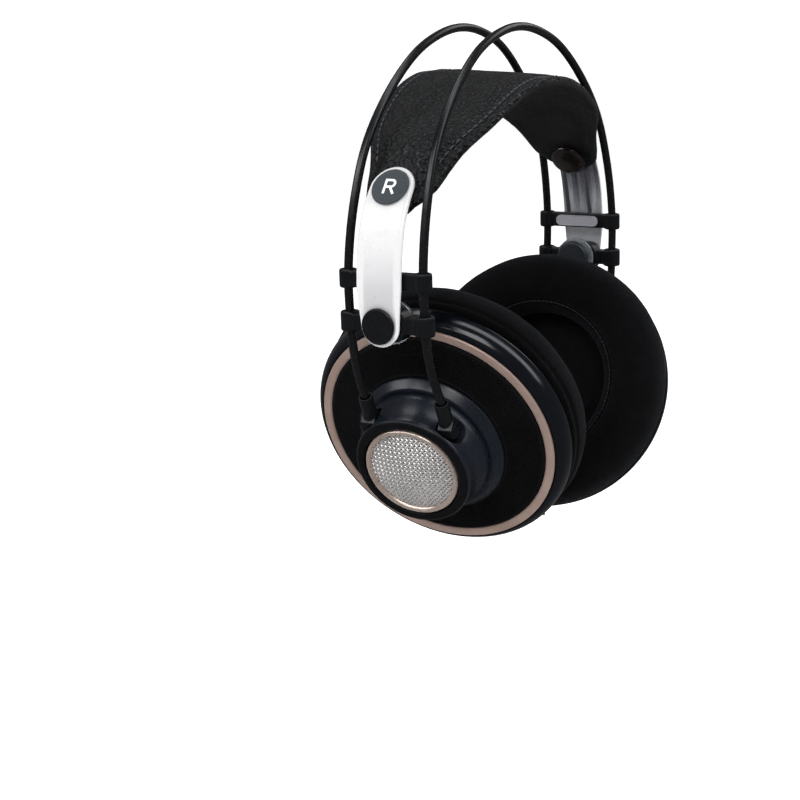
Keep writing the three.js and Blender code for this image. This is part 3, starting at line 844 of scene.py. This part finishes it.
def build_strip(side):
    sx = SIGN[side]
    dense = spline([Vector((x, z, 0)) for x, z in STRIP_PTS], 700)
    P = np.array([[p.x, p.y] for p in dense])
    s = np.r_[0, np.cumsum(np.linalg.norm(np.diff(P, axis=0), axis=1))]
    s_low = np.interp(0.0, P[:, 1], s)
    s_top = np.interp(49.4, P[:, 1], s)
    start, stop = s_low - STRIP_R_LOW, s_top + STRIP_R
    n = 190
    # closer rows at the round ends
    q = []
    for a, b, c in ((start, s_low, 46), (s_low, s_top, 98), (s_top, stop, 46)):
        k = np.linspace(0, 1, c, endpoint=False)
        if a == start:
            k = 1 - np.cos(k * math.pi / 2)
        if b == stop:
            k = np.sin(k * math.pi / 2)
        q += list(a + (b - a) * k)
    q.append(stop)
    q = np.array(q)
    n = len(q)
    # beyond the ends of the drawn line the strip goes on straight
    mid = np.stack([np.interp(q, s, P[:, k]) for k in range(2)], 1)
    d0, d1 = (P[1] - P[0]) / np.linalg.norm(P[1] - P[0]), (P[-1] - P[-2]) / np.linalg.norm(P[-1] - P[-2])
    for i in range(n):
        if q[i] < 0:
            mid[i] = P[0] + d0 * q[i]
        if q[i] > s[-1]:
            mid[i] = P[-1] + d1 * (q[i] - s[-1])
    tan = np.gradient(mid, axis=0)
    tan /= np.linalg.norm(tan, axis=1)[:, None] + 1e-12
    nor = np.stack([tan[:, 1], -tan[:, 0]], 1)  # outward, +X on the +X side
    across = 40
    cols = []
    for k in range(across + 1):
        v = 0.7 * -math.cos(math.pi * k / across) + 0.3 * (2 * k / across - 1)
        cols.append((v, 1))
    for v, _ in cols[-2:0:-1]:
        cols.append((v, -1))
    m = len(cols)
    verts, faces = [], []
    for i in range(n):
        over = max(s_low - q[i], q[i] - s_top, 0.0)
        R = np.interp(q[i], [s_low, s_low + 14, s_low + 30, s_top - 8, s_top], [0, 0.93, 1, 0.6, 0])
        R = STRIP_R_MID * R + (1 - R) * (STRIP_R_LOW if q[i] < (s_low + s_top) / 2 else STRIP_R)
        w = math.sqrt(max(R ** 2 - over ** 2, 0.02 ** 2))
        for v, top in cols:
            y = v * w
            e = max(R - math.hypot(over, y), 0.0)
            edge = math.sqrt(max(0.0, 1 - (1 - min(e / 0.62, 1.0)) ** 2))
            if top > 0:
                up = 0.75 * edge
                up += 0.24 * math.exp(-(((e - 0.95) / 0.42) ** 2)) * edge  # raised lip
                up -= 0.16 * smoothstep((e - 1.5) / 0.6)
            else:
                up = -0.75 * edge
                if over <= 0:
                    fade = smoothstep((q[i] - s_low - 10.5) / 3) * smoothstep((s_top - 11.5 - q[i]) / 3)
                    up += fade * (0.28 * math.exp(-(((abs(y) - 5.2) / 1.3) ** 4)) - 0.12 * math.exp(-((y / 0.9) ** 4)))  # channels for the elastics
            x, z = mid[i]
            verts.append(TO_M @ Vector((sx * (x + nor[i][0] * up), y, z + nor[i][1] * up)))
    for i in range(n - 1):
        for k in range(m):
            a, b = i * m + k, i * m + (k + 1) % m
            faces.append([a, b, b + m, a + m])
    which = [0 if k < across + 1 or k == m - 1 else 1 for _ in range(n - 1) for k in range(m)]
    faces.append(list(range(m)))
    faces.append(list(range((n - 1) * m, n * m))[::-1])
    return finish_mesh(f"strip_{side}_moulding", verts, faces, [STRIP, STRIP_BACK], "strap", [f"strip_{side}"], angle=45, mat_index=which + [0, 0])


def letter(side, matrix, h):
    """The side's letter, drawn as strokes on the badge and standing 0.12 mm proud."""
    pts = {"R": [((-2.0, -3.1), (-2.0, 3.1)), ((-2.0, 2.65), (0.6, 2.65)), ((-2.0, -0.15), (0.5, -0.15)), ((0.2, -0.2), (2.2, -3.1))],
           "L": [((-1.7, -3.1), (-1.7, 3.1)), ((-1.7, -2.65), (2.1, -2.65))]}[side]
    w = 0.92
    solids = []

    def prism(ring):
        m = len(ring)
        verts = [Vector((x, y, z)) for z in (h - 0.3, h + 0.12) for x, y in ring]
        faces = [list(range(m))[::-1], list(range(m, 2 * m))] + [[j, (j + 1) % m, m + (j + 1) % m, m + j] for j in range(m)]
        return verts, faces
    for a, b in pts:
        a, b = Vector(a), Vector(b)
        t = (b - a).normalized()
        n = Vector((-t.y, t.x)) * w / 2
        solids.append(prism([tuple(a - n), tuple(b - n), tuple(b + n), tuple(a + n)]))
    if side == "R":
        outer, inner = [], []
        for j in range(13):
            th = math.radians(-90 + 180 * j / 12)
            outer.append((0.45 + 1.86 * math.cos(th), 1.25 + 1.86 * math.sin(th)))
            inner.append((0.45 + 0.94 * math.cos(th), 1.25 + 0.94 * math.sin(th)))
        solids.append(prism(outer + inner[::-1]))
    return moulded(f"badge_letter_{side}", solids[:1] + solids[1:], [], INK, "strap", voxel=0, matrix=matrix, angle=40)


for side in ("R", "L"):
    sx = SIGN[side]
    build_strip(side)

    # lower crossbar: two eyelets that slide on the rods, a bar, and the boss that carries the strip
    eyelet = [(0, -3.9), (3.75, -3.9), (3.75, 3.9), (0, 3.9)]
    add = [slab(2 * 16.2, 6.2, LOWER_X - 2.6, LOWER_X + 3.0, 1.2, side=sx), slab(19, 13, LOWER_X - 3.0, LOWER_X + 3.6, 5.5, side=sx)]
    add += [turned_at(eyelet, (sx * LOWER_X, y, 0), (0, 0, 1), d=0.9) for y in (-16.2, 16.2)]
    # a squared shoulder on each eyelet's outer side
    add += [slab(5.6, 6.6, LOWER_X - 3.3, LOWER_X + 3.3, 1.0, y=y, side=sx) for y in (-15.6, 15.6)]
    cut = [tube_data([(sx * (LOWER_X - 0.3), y, -6), (sx * (LOWER_X + 0.3), y, 6)], ROD_R + 0.55, 32) for y in (-16.2, 16.2)]
    moulded(f"lower_crossbar_{side}_body", add, cut, BLACK, "strap", [f"lower_crossbar_{side}"], voxel=0.30)

    lathe(f"slider_ring_{side}_clear", [(3.4, 0), (8.7, 0), (8.7, 1.2), (3.4, 1.2)], facing((sx * (LOWER_X - 3.3), 0, 0), (-sx, 0, 0)), CLEAR, "strap", "clear_plastic", [f"slider_ring_{side}"], seg=96, d=0.35)
    lathe(f"slider_cap_{side}_cover", [(0, -1.2), (3.0, -1.2), (3.0, 1.5), (7.3, 1.5), (7.5, 2.1), (7.3, 3.4), (6.7, 3.95), (3.4, 4.1), (0, 4.15)], facing((sx * (LOWER_X - 4.5), 0, 0), (-sx, 0, 0)), DARK, "strap", "dark_plastic", [f"slider_cap_{side}"], seg=96, d=0.6)
    lathe(f"crossbar_button_{side}_cover", [(0, 0), (6.75, 0), (6.95, 0.5), (6.75, 1.0), (6.3, 1.3), (5.95, 1.15), (3.0, 1.32), (0, 1.4)], facing((sx * (91.6 + 0.75 + 0.5), 0, 0), (sx, 0, 0)), BLACK, "strap", "black_plastic", [f"crossbar_button_{side}"], seg=96, d=0.3)

    lean = math.radians(38)
    out = Vector((sx * math.cos(lean), 0, math.sin(lean)))
    at = Vector((sx * 80.4, 0, 49.4))
    lathe(f"side_badge_{side}_disc", [(0, 0), (7.3, 0), (7.6, 0.25), (7.5, 0.70), (7.05, 0.95), (6.75, 0.82), (3.5, 0.8), (0, 0.8)], facing(at + out * 0.95, out), BADGE, "strap", "badge_grey", [f"side_badge_{side}"], seg=96, d=0.22)
    letter(side, facing(at + out * 0.95, out), 0.8)
    lathe(f"badge_rivet_{side}_dome", [(0, 0), (6.0, 0), (7.9, -1.9), (7.75, -2.7), (7.0, -3.6), (5.4, -4.5), (3.0, -5.0), (0, -5.15)], facing(at - out * 5.15, out), RIVET, "strap", "rivet_gloss", [f"badge_rivet_{side}"], seg=96, d=0.7)

    # upper crossbar, clamped on the rods
    y0 = rod_y(UPPER_Z)
    eyelet = [(0, -3.6), (3.45, -3.6), (3.45, 3.6), (0, 3.6)]
    add = [slab(2 * y0, 6.2, UPPER_X - 2.2, UPPER_X + 2.6, 1.0, z=UPPER_Z, side=sx)]
    add += [turned_at(eyelet, (sx * UPPER_X, y, UPPER_Z), (0, 0, 1), d=0.9) for y in (-y0, y0)]
    add += [slab(5.0, 6.2, UPPER_X - 3.0, UPPER_X + 3.0, 1.0, z=UPPER_Z, y=y, side=sx) for y in (-y0 + 0.6, y0 - 0.6)]
    cut = [tube_data([(sx * (UPPER_X + 0.24), y * 1.003, UPPER_Z - 6), (sx * (UPPER_X - 0.24), y * 0.997, UPPER_Z + 6)], ROD_R + 0.5, 32) for y in (-y0, y0)]
    moulded(f"upper_crossbar_{side}_body", add, cut, BLACK, "bow", [f"upper_crossbar_{side}"], voxel=0.30)

    # the blank name plate: a rounded bar with a raised edge round a sunk field
    plate = object_from(f"name_plate_{side}_blank", slab(20.5, 4.8, UPPER_X - 3.5, UPPER_X - 2.5, 2.35, z=UPPER_Z, n=14, side=sx))
    bm = bmesh.new()
    bm.from_mesh(plate.data)
    inner = max(bm.faces, key=lambda f: (len(f.verts) > 8) * (-sx * f.calc_center_median().x + 1000))
    bmesh.ops.inset_region(bm, faces=[inner], thickness=0.35)
    got = bmesh.ops.inset_region(bm, faces=[inner], thickness=0.28, depth=-0.22)
    bmesh.ops.bevel(bm, geom=[e for e in bm.edges if e.calc_face_angle(0) > math.radians(60)], offset=0.15, segments=3, affect="EDGES")
    bm.to_mesh(plate.data)
    bm.free()
    plate.data.transform(TO_M)
    plate.data.materials.append(PLATE)
    tidy(plate, 30)
    settle(plate, "bow", [f"name_plate_{side}"])

    # braided elastics from the upper crossbar to the strap's end
    for nm, y in (("elastic_front", -5.2), ("elastic_rear", 5.2)):
        lo, hi = Vector((sx * (UPPER_X - 0.2), y, UPPER_Z + 3.7)), Vector((sx * 81.4, y, 39.6))
        path = [lo.lerp(hi, j / 90) for j in range(91)]
        v, f = tube_data(path, [1.0 + 0.05 * math.sin(j * 1.1) for j in range(91)], 16)
        o = finish_mesh(f"{nm}_{side}_cord", [TO_M @ p for p in v], f, ELASTIC, "bow", angle=60, ride=False)
        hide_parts(f"{nm}_{side}")
        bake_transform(o)

    # rod ends: a sleeve on the rod, a six-sided boss, and the pin into the hub
    for nm, s in (("rod_end_front", -1), ("rod_end_rear", 1)):
        def P(d, y):
            return swivelled((sx * (PIV[0] + END.x * d), s * y, PIV[1] + END.z * d), sx)
        sleeve = tube_data([P(1.5, 16.2), P(12.5, 16.2)], 2.85, 32)
        boss = tube_data([P(0, 13.5), P(0, 19.6)], 4.25, 6)
        cap = turned_at([(0, 0), (2.4, 0), (2.2, 0.5), (0, 0.6)], P(0, 19.4), P(0, 20) - P(0, 19), d=0.2)
        pin = tube_data([P(0, 10.4), P(0, 14.5)], 1.4, 24)
        hole = tube_data([P(4.65, 16.2), P(14, 16.2)], ROD_R + 0.45, 32)
        moulded(f"{nm}_{side}_cap", [sleeve, boss, cap, pin], [hole], BLACK, "bow", [f"{nm}_{side}"], voxel=0.24, smooth=2)

# ------------------------------------------------------------------ cups
def grille_data():
    """The cone of fine perforated sheet, as a polar net of bars with real openings."""
    seg, rings = 250, 15
    r0, h0, r1, h1 = 31.4, 3.95, 45.4, 0.1
    verts, faces = [], []
    for i in range(rings + 1):
        t = i / rings
        r = r0 + (r1 - r0) * t
        h = h0 + (h1 - h0) * t
        for j in range(seg):
            th = 2 * math.pi * (j + (0.5 if i % 2 else 0)) / seg
            verts.append(Vector((r * math.cos(th), r * math.sin(th), h)))
    for i in range(rings):
        for j in range(seg):
            a, b = i * seg + j, i * seg + (j + 1) % seg
            c, d = (i + 1) * seg + j, (i + 1) * seg + (j + 1) % seg
            if i % 2 == 0:
                faces += [[a, b, c], [b, d, c]]
            else:
                faces += [[a, d, c], [a, b, d]]
    return verts, faces


def woven_dome_data():
    """Plain-woven wire cloth pressed into a shallow dome: two sets of wires that pass over and under each other."""
    R, pitch, wire = 17.5, 1.38, 0.47
    count = int(R / pitch)
    parts = []

    def height(x, y):
        r2 = (x * x + y * y) / (17.2 ** 2)
        return 25.75 - 2.15 * r2 - 0.25 * r2 * r2
    for way in (0, 1):
        for i in range(-count, count + 1):
            c = i * pitch
            half = math.sqrt(max(R * R - c * c, 0))
            if half < 1.5:
                continue
            steps = max(int(2 * half / pitch * 4), 6)
            path = []
            for k in range(steps + 1):
                d = -half + 2 * half * k / steps
                over = math.cos(math.pi * (d / pitch + i + way)) * wire * 0.62
                x, y = (d, c) if way == 0 else (c, d)
                x, y = 0.7071 * (x - y), 0.7071 * (x + y)
                path.append(Vector((x, y, height(x, y) + over)))
            parts.append(tube_data(path, wire, 6))
    return merged(parts)


GRILLE_DATA = grille_data()
DOME_DATA = woven_dome_data()

for side in ("R", "L"):
    M = cup_matrix(side)
    body = f"cup_{side}"

    def cup_lathe(name, profile, mat, slot, replaces, **kw):
        return lathe(f"{name}_{side}", profile, M, mat, body, slot, [f"{r}_{side}" for r in replaces], **kw)

    cup_lathe("trim_ring_face", [(46.4, -1.3), (50.0, -1.3), (50.0, -0.35), (49.35, 0.0), (47.1, 0.0), (46.4, -0.45)], CHAMPAGNE, "champagne_metal", ["trim_ring"], seg=256, d=0.22)
    shell = [(44.4, -1.7), (50.45, -1.7), (50.6, -0.95), (51.3, -1.25), (52.3, -2.1), (53.2, -3.3), (53.85, -4.7), (54.3, -6.2), (54.5, -7.5), (54.55, -8.6), (54.2, -9.35), (53.5, -9.85), (51.6, -10.2), (51.2, -7.2), (48.6, -3.4), (44.4, -3.2)]
    if side == "R":
        cup_lathe("cup_shell_gloss", shell, GLOSS, "gloss_black", ["cup_shell"], seg=256, d=[0.1, 0.2, 0.2, 0.5, 0.5, 0.6, 0.6, 0.6, 0.6, 0.35, 0.25, 0.3, 0.2, 0.5, 0.5, 0.1])
    else:
        v, f, _ = lathe_data(shell, 256, [0.1, 0.2, 0.2, 0.5, 0.5, 0.6, 0.6, 0.6, 0.6, 0.35, 0.25, 0.3, 0.2, 0.5, 0.5, 0.1], 4)
        hole = tube_data([(0, -49.9, -5.6), (0, -63.5, -5.6)], 4.75, 64)
        moulded("cup_shell_gloss_L", [(v, f)], [hole], GLOSS, body, ["cup_shell_L"], voxel=0, matrix=M, angle=32)

    # perforated grille: the net, its two rims, and black cloth behind
    net = object_from(f"grille_net_{side}", GRILLE_DATA)
    wf = net.modifiers.new("w", "WIREFRAME")
    wf.thickness, wf.use_even_offset, wf.use_boundary = 0.36, True, True
    bake_modifiers(net)
    net.data.transform(M)
    net.data.materials.append(GRILLE)
    for p in net.data.polygons:
        p.use_smooth = True
    settle(net, body, [f"outer_grille_{side}"])
    PIECES[net.name] = net
    cup_lathe("grille_rim_outer", [(44.9, -1.25), (46.05, -1.15), (46.05, -0.25), (45.2, 0.28), (44.7, 0.2)], GRILLE, "grille_black", [], seg=192, d=0.2)
    cup_lathe("grille_rim_inner", [(31.0, 2.9), (32.2, 2.55), (32.2, 3.75), (31.7, 4.15), (31.0, 4.2)], GRILLE, "grille_black", [], seg=160, d=0.2)
    cup_lathe("grille_cloth", [(31.2, 2.6), (45.6, -1.35), (45.6, -0.75), (31.2, 3.2)], CLOTH, "grille_black", [], seg=160, d=0.1)

    cup_lathe("hub_base_flange", [(19, 1.6), (30.6, 1.6), (30.6, 4.3), (31.2, 4.5), (31.15, 5.3), (30.7, 5.95), (28.5, 8.7), (28.0, 9.0), (19, 9.0)], HUB, "hub_satin", ["hub_base"], seg=192, d=[0.2, 0.2, 0.1, 0.25, 0.3, 0.4, 0.25, 0.2, 0.2])
    cap = [(15.5, 9.4), (26.9, 9.4), (26.85, 10.4), (26.6, 11.9), (25.9, 13.6), (25.2, 15.5), (24.6, 17.6), (24.3, 19.6), (24.2, 21.4), (24.1, 23.2), (23.6, 24.3), (22.7, 25.0), (21.0, 25.2), (20.1, 24.8), (20.0, 22.6), (15.5, 22.6)]
    v, f, _ = lathe_data(cap, 192, [0.1, 0.25, 0.5, 0.7, 0.8, 0.8, 0.8, 0.8, 0.6, 0.5, 0.5, 0.4, 0.4, 0.3, 0.1, 0.1], 4)
    cuts = []
    for s in (-1, 1):
        cuts.append(turned_at([(0, 0), (5.4, 0), (5.4, 19.1), (0, 19.1)], (s * 12.9, 18.0, 18.0), (s, 0, 0), seg=64, d=0.01, fine=1))
        cuts.append(tube_data([(s * 9.8, 18.0, 18.0), (s * 16, 18.0, 18.0)], 1.75, 32))
    hub = moulded(f"hub_cap_{side}_body", [(v, f)], cuts, HUB, body, [f"hub_cap_{side}"], voxel=0, matrix=M, angle=30)
    # the turned end face round the silver rim is plain black
    hub.data.materials.append(HUB_FACE)
    inv = M.inverted()
    for p in hub.data.polygons:
        c = inv @ p.center
        if c.z > 24.0 or math.hypot(c.x, c.y) < 22.0:
            p.material_index = 1

    cup_lathe("mesh_rim_silver", [(17.2, 23.0), (19.5, 23.0), (19.5, 24.5), (19.15, 25.1), (18.5, 25.25), (17.9, 24.9), (17.3, 24.2)], SILVER, "silver_metal", ["mesh_rim"], seg=160, d=0.3)
    dv, df = DOME_DATA
    dome = object_from(f"mesh_dome_weave_{side}", (dv, df), M)
    dome.data.materials.append(WIRE)
    for p in dome.data.polygons:
        p.use_smooth = True
    dome.data.set_sharp_from_angle(angle=math.radians(60))
    settle(dome, body, [f"mesh_dome_{side}"])
    PIECES[dome.name] = dome
    cup_lathe("dome_cloth", [(0, 24.35), (8.5, 23.95), (16.9, 22.75), (16.9, 22.3), (8.5, 23.5), (0, 23.9)], CLOTH, "felt", [], seg=96, d=0.2)

    cup_lathe("damping_felt_ring", [(15.4, -1.9), (18.4, -1.9), (18.4, -0.3), (15.4, -0.3)], FELT, "felt", ["damping_felt"], seg=96)
    cup_lathe("driver_magnet_body", [(0, -5.4), (8.6, -5.4), (8.6, 1.0), (0, 1.0)], MAGNET, "magnet_steel", ["driver_magnet"], seg=96, d=0.5)
    cup_lathe("driver_frame_ring", [(9.0, -5.6), (22.4, -7.6), (22.4, -9.4), (19.6, -9.4), (9.0, -7.8)], DRIVER, "driver_plastic", ["driver_frame"], seg=128, d=0.3)
    film = []
    for j in range(36):  # the film's fine rolls
        r = 19.0 * j / 35
        film.append((r, -8.8 - 1.5 * (r / 19.0) ** 1.3 + (0.16 * math.sin(r * 2.6) if 8 < r < 18.5 else 0)))
    back = [(r, h + 0.35) for r, h in film][::-1]
    cup_lathe("diaphragm_film", film + back, FILM, "diaphragm_film", ["diaphragm"], seg=96, d=0.02)

    # baffle: a ring of small openings round the driver, cut through
    bv, bf, _ = lathe_data([(22.9, -9.0), (50.6, -9.0), (50.6, -10.8), (27.4, -10.8), (22.9, -12.0)], 160, 0.3, 3)
    holes = []
    for j in range(18):
        th = 2 * math.pi * (j + 0.5) / 18
        holes.append(tube_data([(33.5 * math.cos(th), 33.5 * math.sin(th), -13), (33.5 * math.cos(th), 33.5 * math.sin(th), -7)], 2.3, 20))
    holes = [merged(holes)]
    moulded(f"baffle_{side}_plate", [(bv, bf)], holes, BAFFLE, body, [f"baffle_{side}"], voxel=0, matrix=M, angle=32)
    cup_lathe("driver_cloth", [(0, -11.55), (20.5, -11.7), (22.6, -12.15), (26.6, -11.15), (40.4, -11.15), (40.4, -11.5), (26.7, -11.5), (22.6, -12.6), (20.5, -12.2), (0, -12.05)], CLOTH, "felt", [], seg=96, d=0.3)

    # ------------------------------------------------------------ ear pad
    lathe(f"pad_ring_{side}_clip", [(41.0, -11.2), (50.8, -11.2), (50.8, -12.6), (41.0, -12.6)], M, BLACK, f"pad_{side}", "black_plastic", [f"pad_ring_{side}"], seg=160, d=0.3)


def build_pad(side):
    """A foam ring in velour: a lathed cover a little under size, swelled by cloth pressure between its two seams,
    then given the creases that gather at the seams."""
    M = cup_matrix(side)
    prof = [(34.5, -13.0), (53.0, -13.0), (55.2, -14.6), (56.0, -19.2), (54.9, -24.8), (51.2, -29.0), (45.0, -30.9), (38.0, -30.1), (32.2, -26.7), (29.5, -21.5), (30.2, -16.2)]
    pts = soften(prof, 3.0, True, 4)
    loop, _ = even(list(pts) + [pts[0]], 57)
    loop = loop[:-1]
    m, seg = len(loop), 104
    verts = []
    for j in range(seg):
        th = 2 * math.pi * j / seg
        for p in loop:
            verts.append(Vector((p.x * math.cos(th), p.x * math.sin(th), p.y)))
    faces = [[j * m + k, j * m + (k + 1) % m, ((j + 1) % seg) * m + (k + 1) % m, ((j + 1) % seg) * m + k] for j in range(seg) for k in range(m)]
    # seams: outside, low on the wall, and inside, where the lining meets the face
    outer = min(range(m), key=lambda k: (loop[k] - Vector((55.0, -15.2))).length)
    inner = min(range(m), key=lambda k: (loop[k] - Vector((33.4, -28.0))).length)
    rest = [v.copy() for v in verts]
    o = object_from(f"pad_sim_{side}", ([v * 0.001 for v in verts], faces))
    held = o.vertex_groups.new(name="held")
    for j in range(seg):
        for k, p in enumerate(loop):
            w = 0.0
            if p.y > -13.6 or k in (outer, inner):
                w = 1.0
            elif abs(k - outer) == 1 or abs(k - inner) == 1:
                w = 0.25
            if w:
                held.add([j * m + k], w, "REPLACE")
    c = o.modifiers.new("cloth", "CLOTH")
    st = c.settings
    st.quality = 6
    st.mass = 0.01
    st.use_pressure = True
    st.uniform_pressure_force = 4000.0
    st.vertex_group_mass = "held"
    st.effector_weights.gravity = 0.0
    st.tension_stiffness, st.compression_stiffness, st.shear_stiffness, st.bending_stiffness = 12, 12, 5, 0.6
    c.collision_settings.use_self_collision = False
    c.point_cache.frame_start, c.point_cache.frame_end = 1, 20
    for fr in range(1, 21):
        bpy.context.scene.frame_set(fr)
    dg = bpy.context.evaluated_depsgraph_get()
    ev = o.evaluated_get(dg).to_mesh()
    got = [v.co * 1000 for v in ev.vertices]
    moved = 0.0
    for i, (a, b) in enumerate(zip(rest, got)):
        d = b - a
        moved = max(moved, d.length)
        if d.length > 1.5:
            d *= 1.5 / d.length
        verts[i] = a + d
    print(f"pad {side}: cloth moved points up to {moved:.2f} mm, capped at 1.5 mm")
    bpy.data.objects.remove(o)
    bpy.context.scene.frame_set(1)
    o = object_from(f"ear_pad_{side}_velour", (verts, faces))
    sub = o.modifiers.new("sub", "SUBSURF")
    sub.levels = sub.render_levels = 2
    bake_modifiers(o)
    # seams sewn in after the subdivision, with gathers and a soft unevenness in the pile
    op, ip = loop[outer], loop[inner]
    seed = 11.0 if side == "R" else 29.0
    me = o.data
    co = np.zeros(len(me.vertices) * 3, np.float32)
    me.vertices.foreach_get("co", co)
    co = co.reshape(-1, 3).astype(float)
    for i in range(len(co)):
        x, y, h = co[i]
        r = math.hypot(x, y)
        th = math.atan2(y, x)
        g1 = math.exp(-((math.hypot(r - op.x, h - op.y) / 0.9) ** 2))
        g2 = math.exp(-((math.hypot(r - ip.x, h - ip.y) / 0.9) ** 2))
        near = math.exp(-((math.hypot(r - op.x, h - op.y) / 4.0) ** 2)) + math.exp(-((math.hypot(r - ip.x, h - ip.y) / 4.5) ** 2))
        d = -0.75 * g1 - 0.8 * g2
        d += 0.20 * near * noise.noise(Vector((math.cos(th) * 22, math.sin(th) * 22, seed)))
        d += 0.30 * noise.noise(Vector((x * 0.07, y * 0.07, h * 0.09 + seed))) if h < -14 else 0
        # along the outward direction of the ring's section
        cx, ch = 42.8, -22.5
        nr, nh = r - cx, h - ch
        ln = math.hypot(nr, nh) or 1
        r2 = r + d * nr / ln
        h2 = h + d * nh / ln
        co[i] = (r2 * math.cos(th), r2 * math.sin(th), min(h2, -12.95))
    me.vertices.foreach_set("co", co.astype(np.float32).ravel())
    me.update()
    me.transform(M)
    me.materials.append(VELOUR)
    for p in me.polygons:
        p.use_smooth = True
    settle(o, f"pad_{side}", [f"ear_pad_{side}"])
    # the sewn thread that shows in the face seam
    parts = []
    count = 112
    for j in range(count):
        path, rad_ = [], []
        for q in range(5):
            th = 2 * math.pi * (j + 0.15 + 0.66 * q / 4) / count
            s = 2 * q / 4 - 1
            rr, hh = ip.x - 0.35, ip.y + 0.15
            path.append(Vector((rr * math.cos(th), rr * math.sin(th), hh + 0.25 * s ** 4)))
            rad_.append(0.26 * (1 - 0.4 * s ** 4))
        parts.append(tube_data(path, rad_, 6))
    v, f = merged(parts)
    finish_mesh(f"pad_seam_thread_{side}", [M @ p for p in v], f, SEAM, f"pad_{side}", angle=80)


build_pad("R")
build_pad("L")

# ------------------------------------------------------------------ cable socket on the left cup
M = cup_matrix("L")


def socket_at(d, x=0.0, h=0.0):
    return Vector((x, -41.5 - d, -5.6 + h))


_sock = M @ Matrix.Translation(socket_at(0)) @ Matrix.Rotation(math.radians(90), 4, "X")
lathe("cable_socket_L_body", [(0, 9.6), (4.4, 9.6), (4.4, 16.8), (3.4, 16.8), (3.4, 12.0), (0, 12.0)], _sock, BLACK, "cup_L", "black_plastic", ["cable_socket_L"], seg=96, d=0.3)
_parts = [turned_at([(0, 0), (3.0, 0), (3.0, 0.8), (0, 0.8)], socket_at(12.3), (0, -1, 0), seg=48, d=0.1)]
for _x, _h in ((1.3, 0.8), (-1.3, 0.8), (0, -1.4)):
    _parts.append(turned_at([(0, 0), (0.45, 0), (0.45, 2.3), (0.2, 2.7), (0, 2.75)], socket_at(12.9, _x, _h), (0, -1, 0), seg=24, d=0.1))
moulded("socket_pins_L_set", _parts, [], CONTACT, "cup_L", ["socket_pins_L"], voxel=0, matrix=M, angle=35)

# ------------------------------------------------------------------ floor, light
FLOOR_Z = K * (-166 - Z_ORIGIN)


def floor():
    """A pale round sweep: a flat floor that curves up into a low wall on every side."""
    R = 1.5
    line = [6.0 * j / 12 for j in range(1, 13)]
    line = [(d, 0.0) for d in line]
    line += [(6.0 + R * math.sin(a), R - R * math.cos(a)) for a in [math.pi / 2 * j / 20 for j in range(1, 21)]]
    line += [(6.0 + R, R + 1.6 * j / 4) for j in range(1, 5)]
    turns = 96
    verts, faces = [(0, 0, FLOOR_Z)], []
    for d, z in line:
        for w in range(turns):
            a = 2 * math.pi * w / turns
            verts.append((d * math.cos(a), d * math.sin(a), FLOOR_Z + z))
    for w in range(turns):
        faces.append([0, 1 + w, 1 + (w + 1) % turns])
    for i in range(len(line) - 1):
        for w in range(turns):
            a, b = 1 + i * turns + w, 1 + i * turns + (w + 1) % turns
            faces.append([a, a + turns, b + turns, b])
    me = bpy.data.meshes.new("floor")
    me.from_pydata(verts, [], faces)
    o = bpy.data.objects.new("floor", me)
    bpy.context.scene.collection.objects.link(o)
    k = Nodes("floor_white")
    k.set(Specular_IOR_Level=0.1, Roughness=0.9, Emission_Color=(1, 1, 1, 1), Emission_Strength=0.66)
    k.colour(k.ramp(k.noise(6, 3), [(0.3, (0.90, 0.90, 0.895)), (0.7, (0.93, 0.93, 0.925))]))
    me.materials.append(k.m)
    for p in me.polygons:
        p.use_smooth = True
    o.visible_glossy = False  # the pale sweep lights the object but isn't mirrored in its black gloss
    return o


floor()


def area(name, loc, target, size, power, colour=(1, 1, 1), size_y=None, spread=180):
    l = bpy.data.lights.new(name, "AREA")
    l.shape = "RECTANGLE"
    l.size, l.size_y = size, size_y or size
    l.energy = power
    l.color = colour
    l.spread = math.radians(spread)
    o = bpy.data.objects.new(name, l)
    bpy.context.scene.collection.objects.link(o)
    d = Vector(target) - Vector(loc)
    o.matrix_world = Matrix.Translation(loc) @ d.to_track_quat("-Z", "Y").to_matrix().to_4x4()
    return o


def strip_light(name, p1, p2, width, target, power, colour=(1, 1, 1)):
    """A long soft box between two points, turned to face the target."""
    p1, p2 = Vector(p1), Vector(p2)
    mid = (p1 + p2) / 2
    x = (p2 - p1).normalized()
    z = mid - Vector(target)
    z = (z - x * z.dot(x)).normalized()
    o = area(name, mid, target, (p2 - p1).length, power, colour, width)
    o.matrix_world = Matrix.Translation(mid) @ Matrix((x, z.cross(x), z)).transposed().to_4x4()
    return o


CENTRE = (0, 0, -0.08)
area("key", (-1.05, -0.55, 0.95), CENTRE, 0.62, 8)
strip_light("overhead", (0.22, -1.30, 0.30), (-0.16, 0.10, 1.20), 0.26, CENTRE, 6.5, (0.90, 0.95, 1.0))
area("top", (0.10, 0.45, 1.20), CENTRE, 0.5, 3)
strip_light("left_long", (-0.50, 0.95, 0.42), (-1.02, -0.20, 0.60), 0.20, (-0.08, 0, -0.10), 6, (0.93, 0.96, 1.0))
area("back_right", (0.9, -0.3, 0.5), CENTRE, 0.5, 1.6)

world = bpy.data.worlds.new("studio")
bpy.context.scene.world = world
world.use_nodes = True
bg = world.node_tree.nodes["Background"]
bg.inputs["Color"].default_value = (1.0, 1.0, 1.0, 1)
bg.inputs["Strength"].default_value = 0.14
bpy.context.scene.view_settings.view_transform = "Standard"
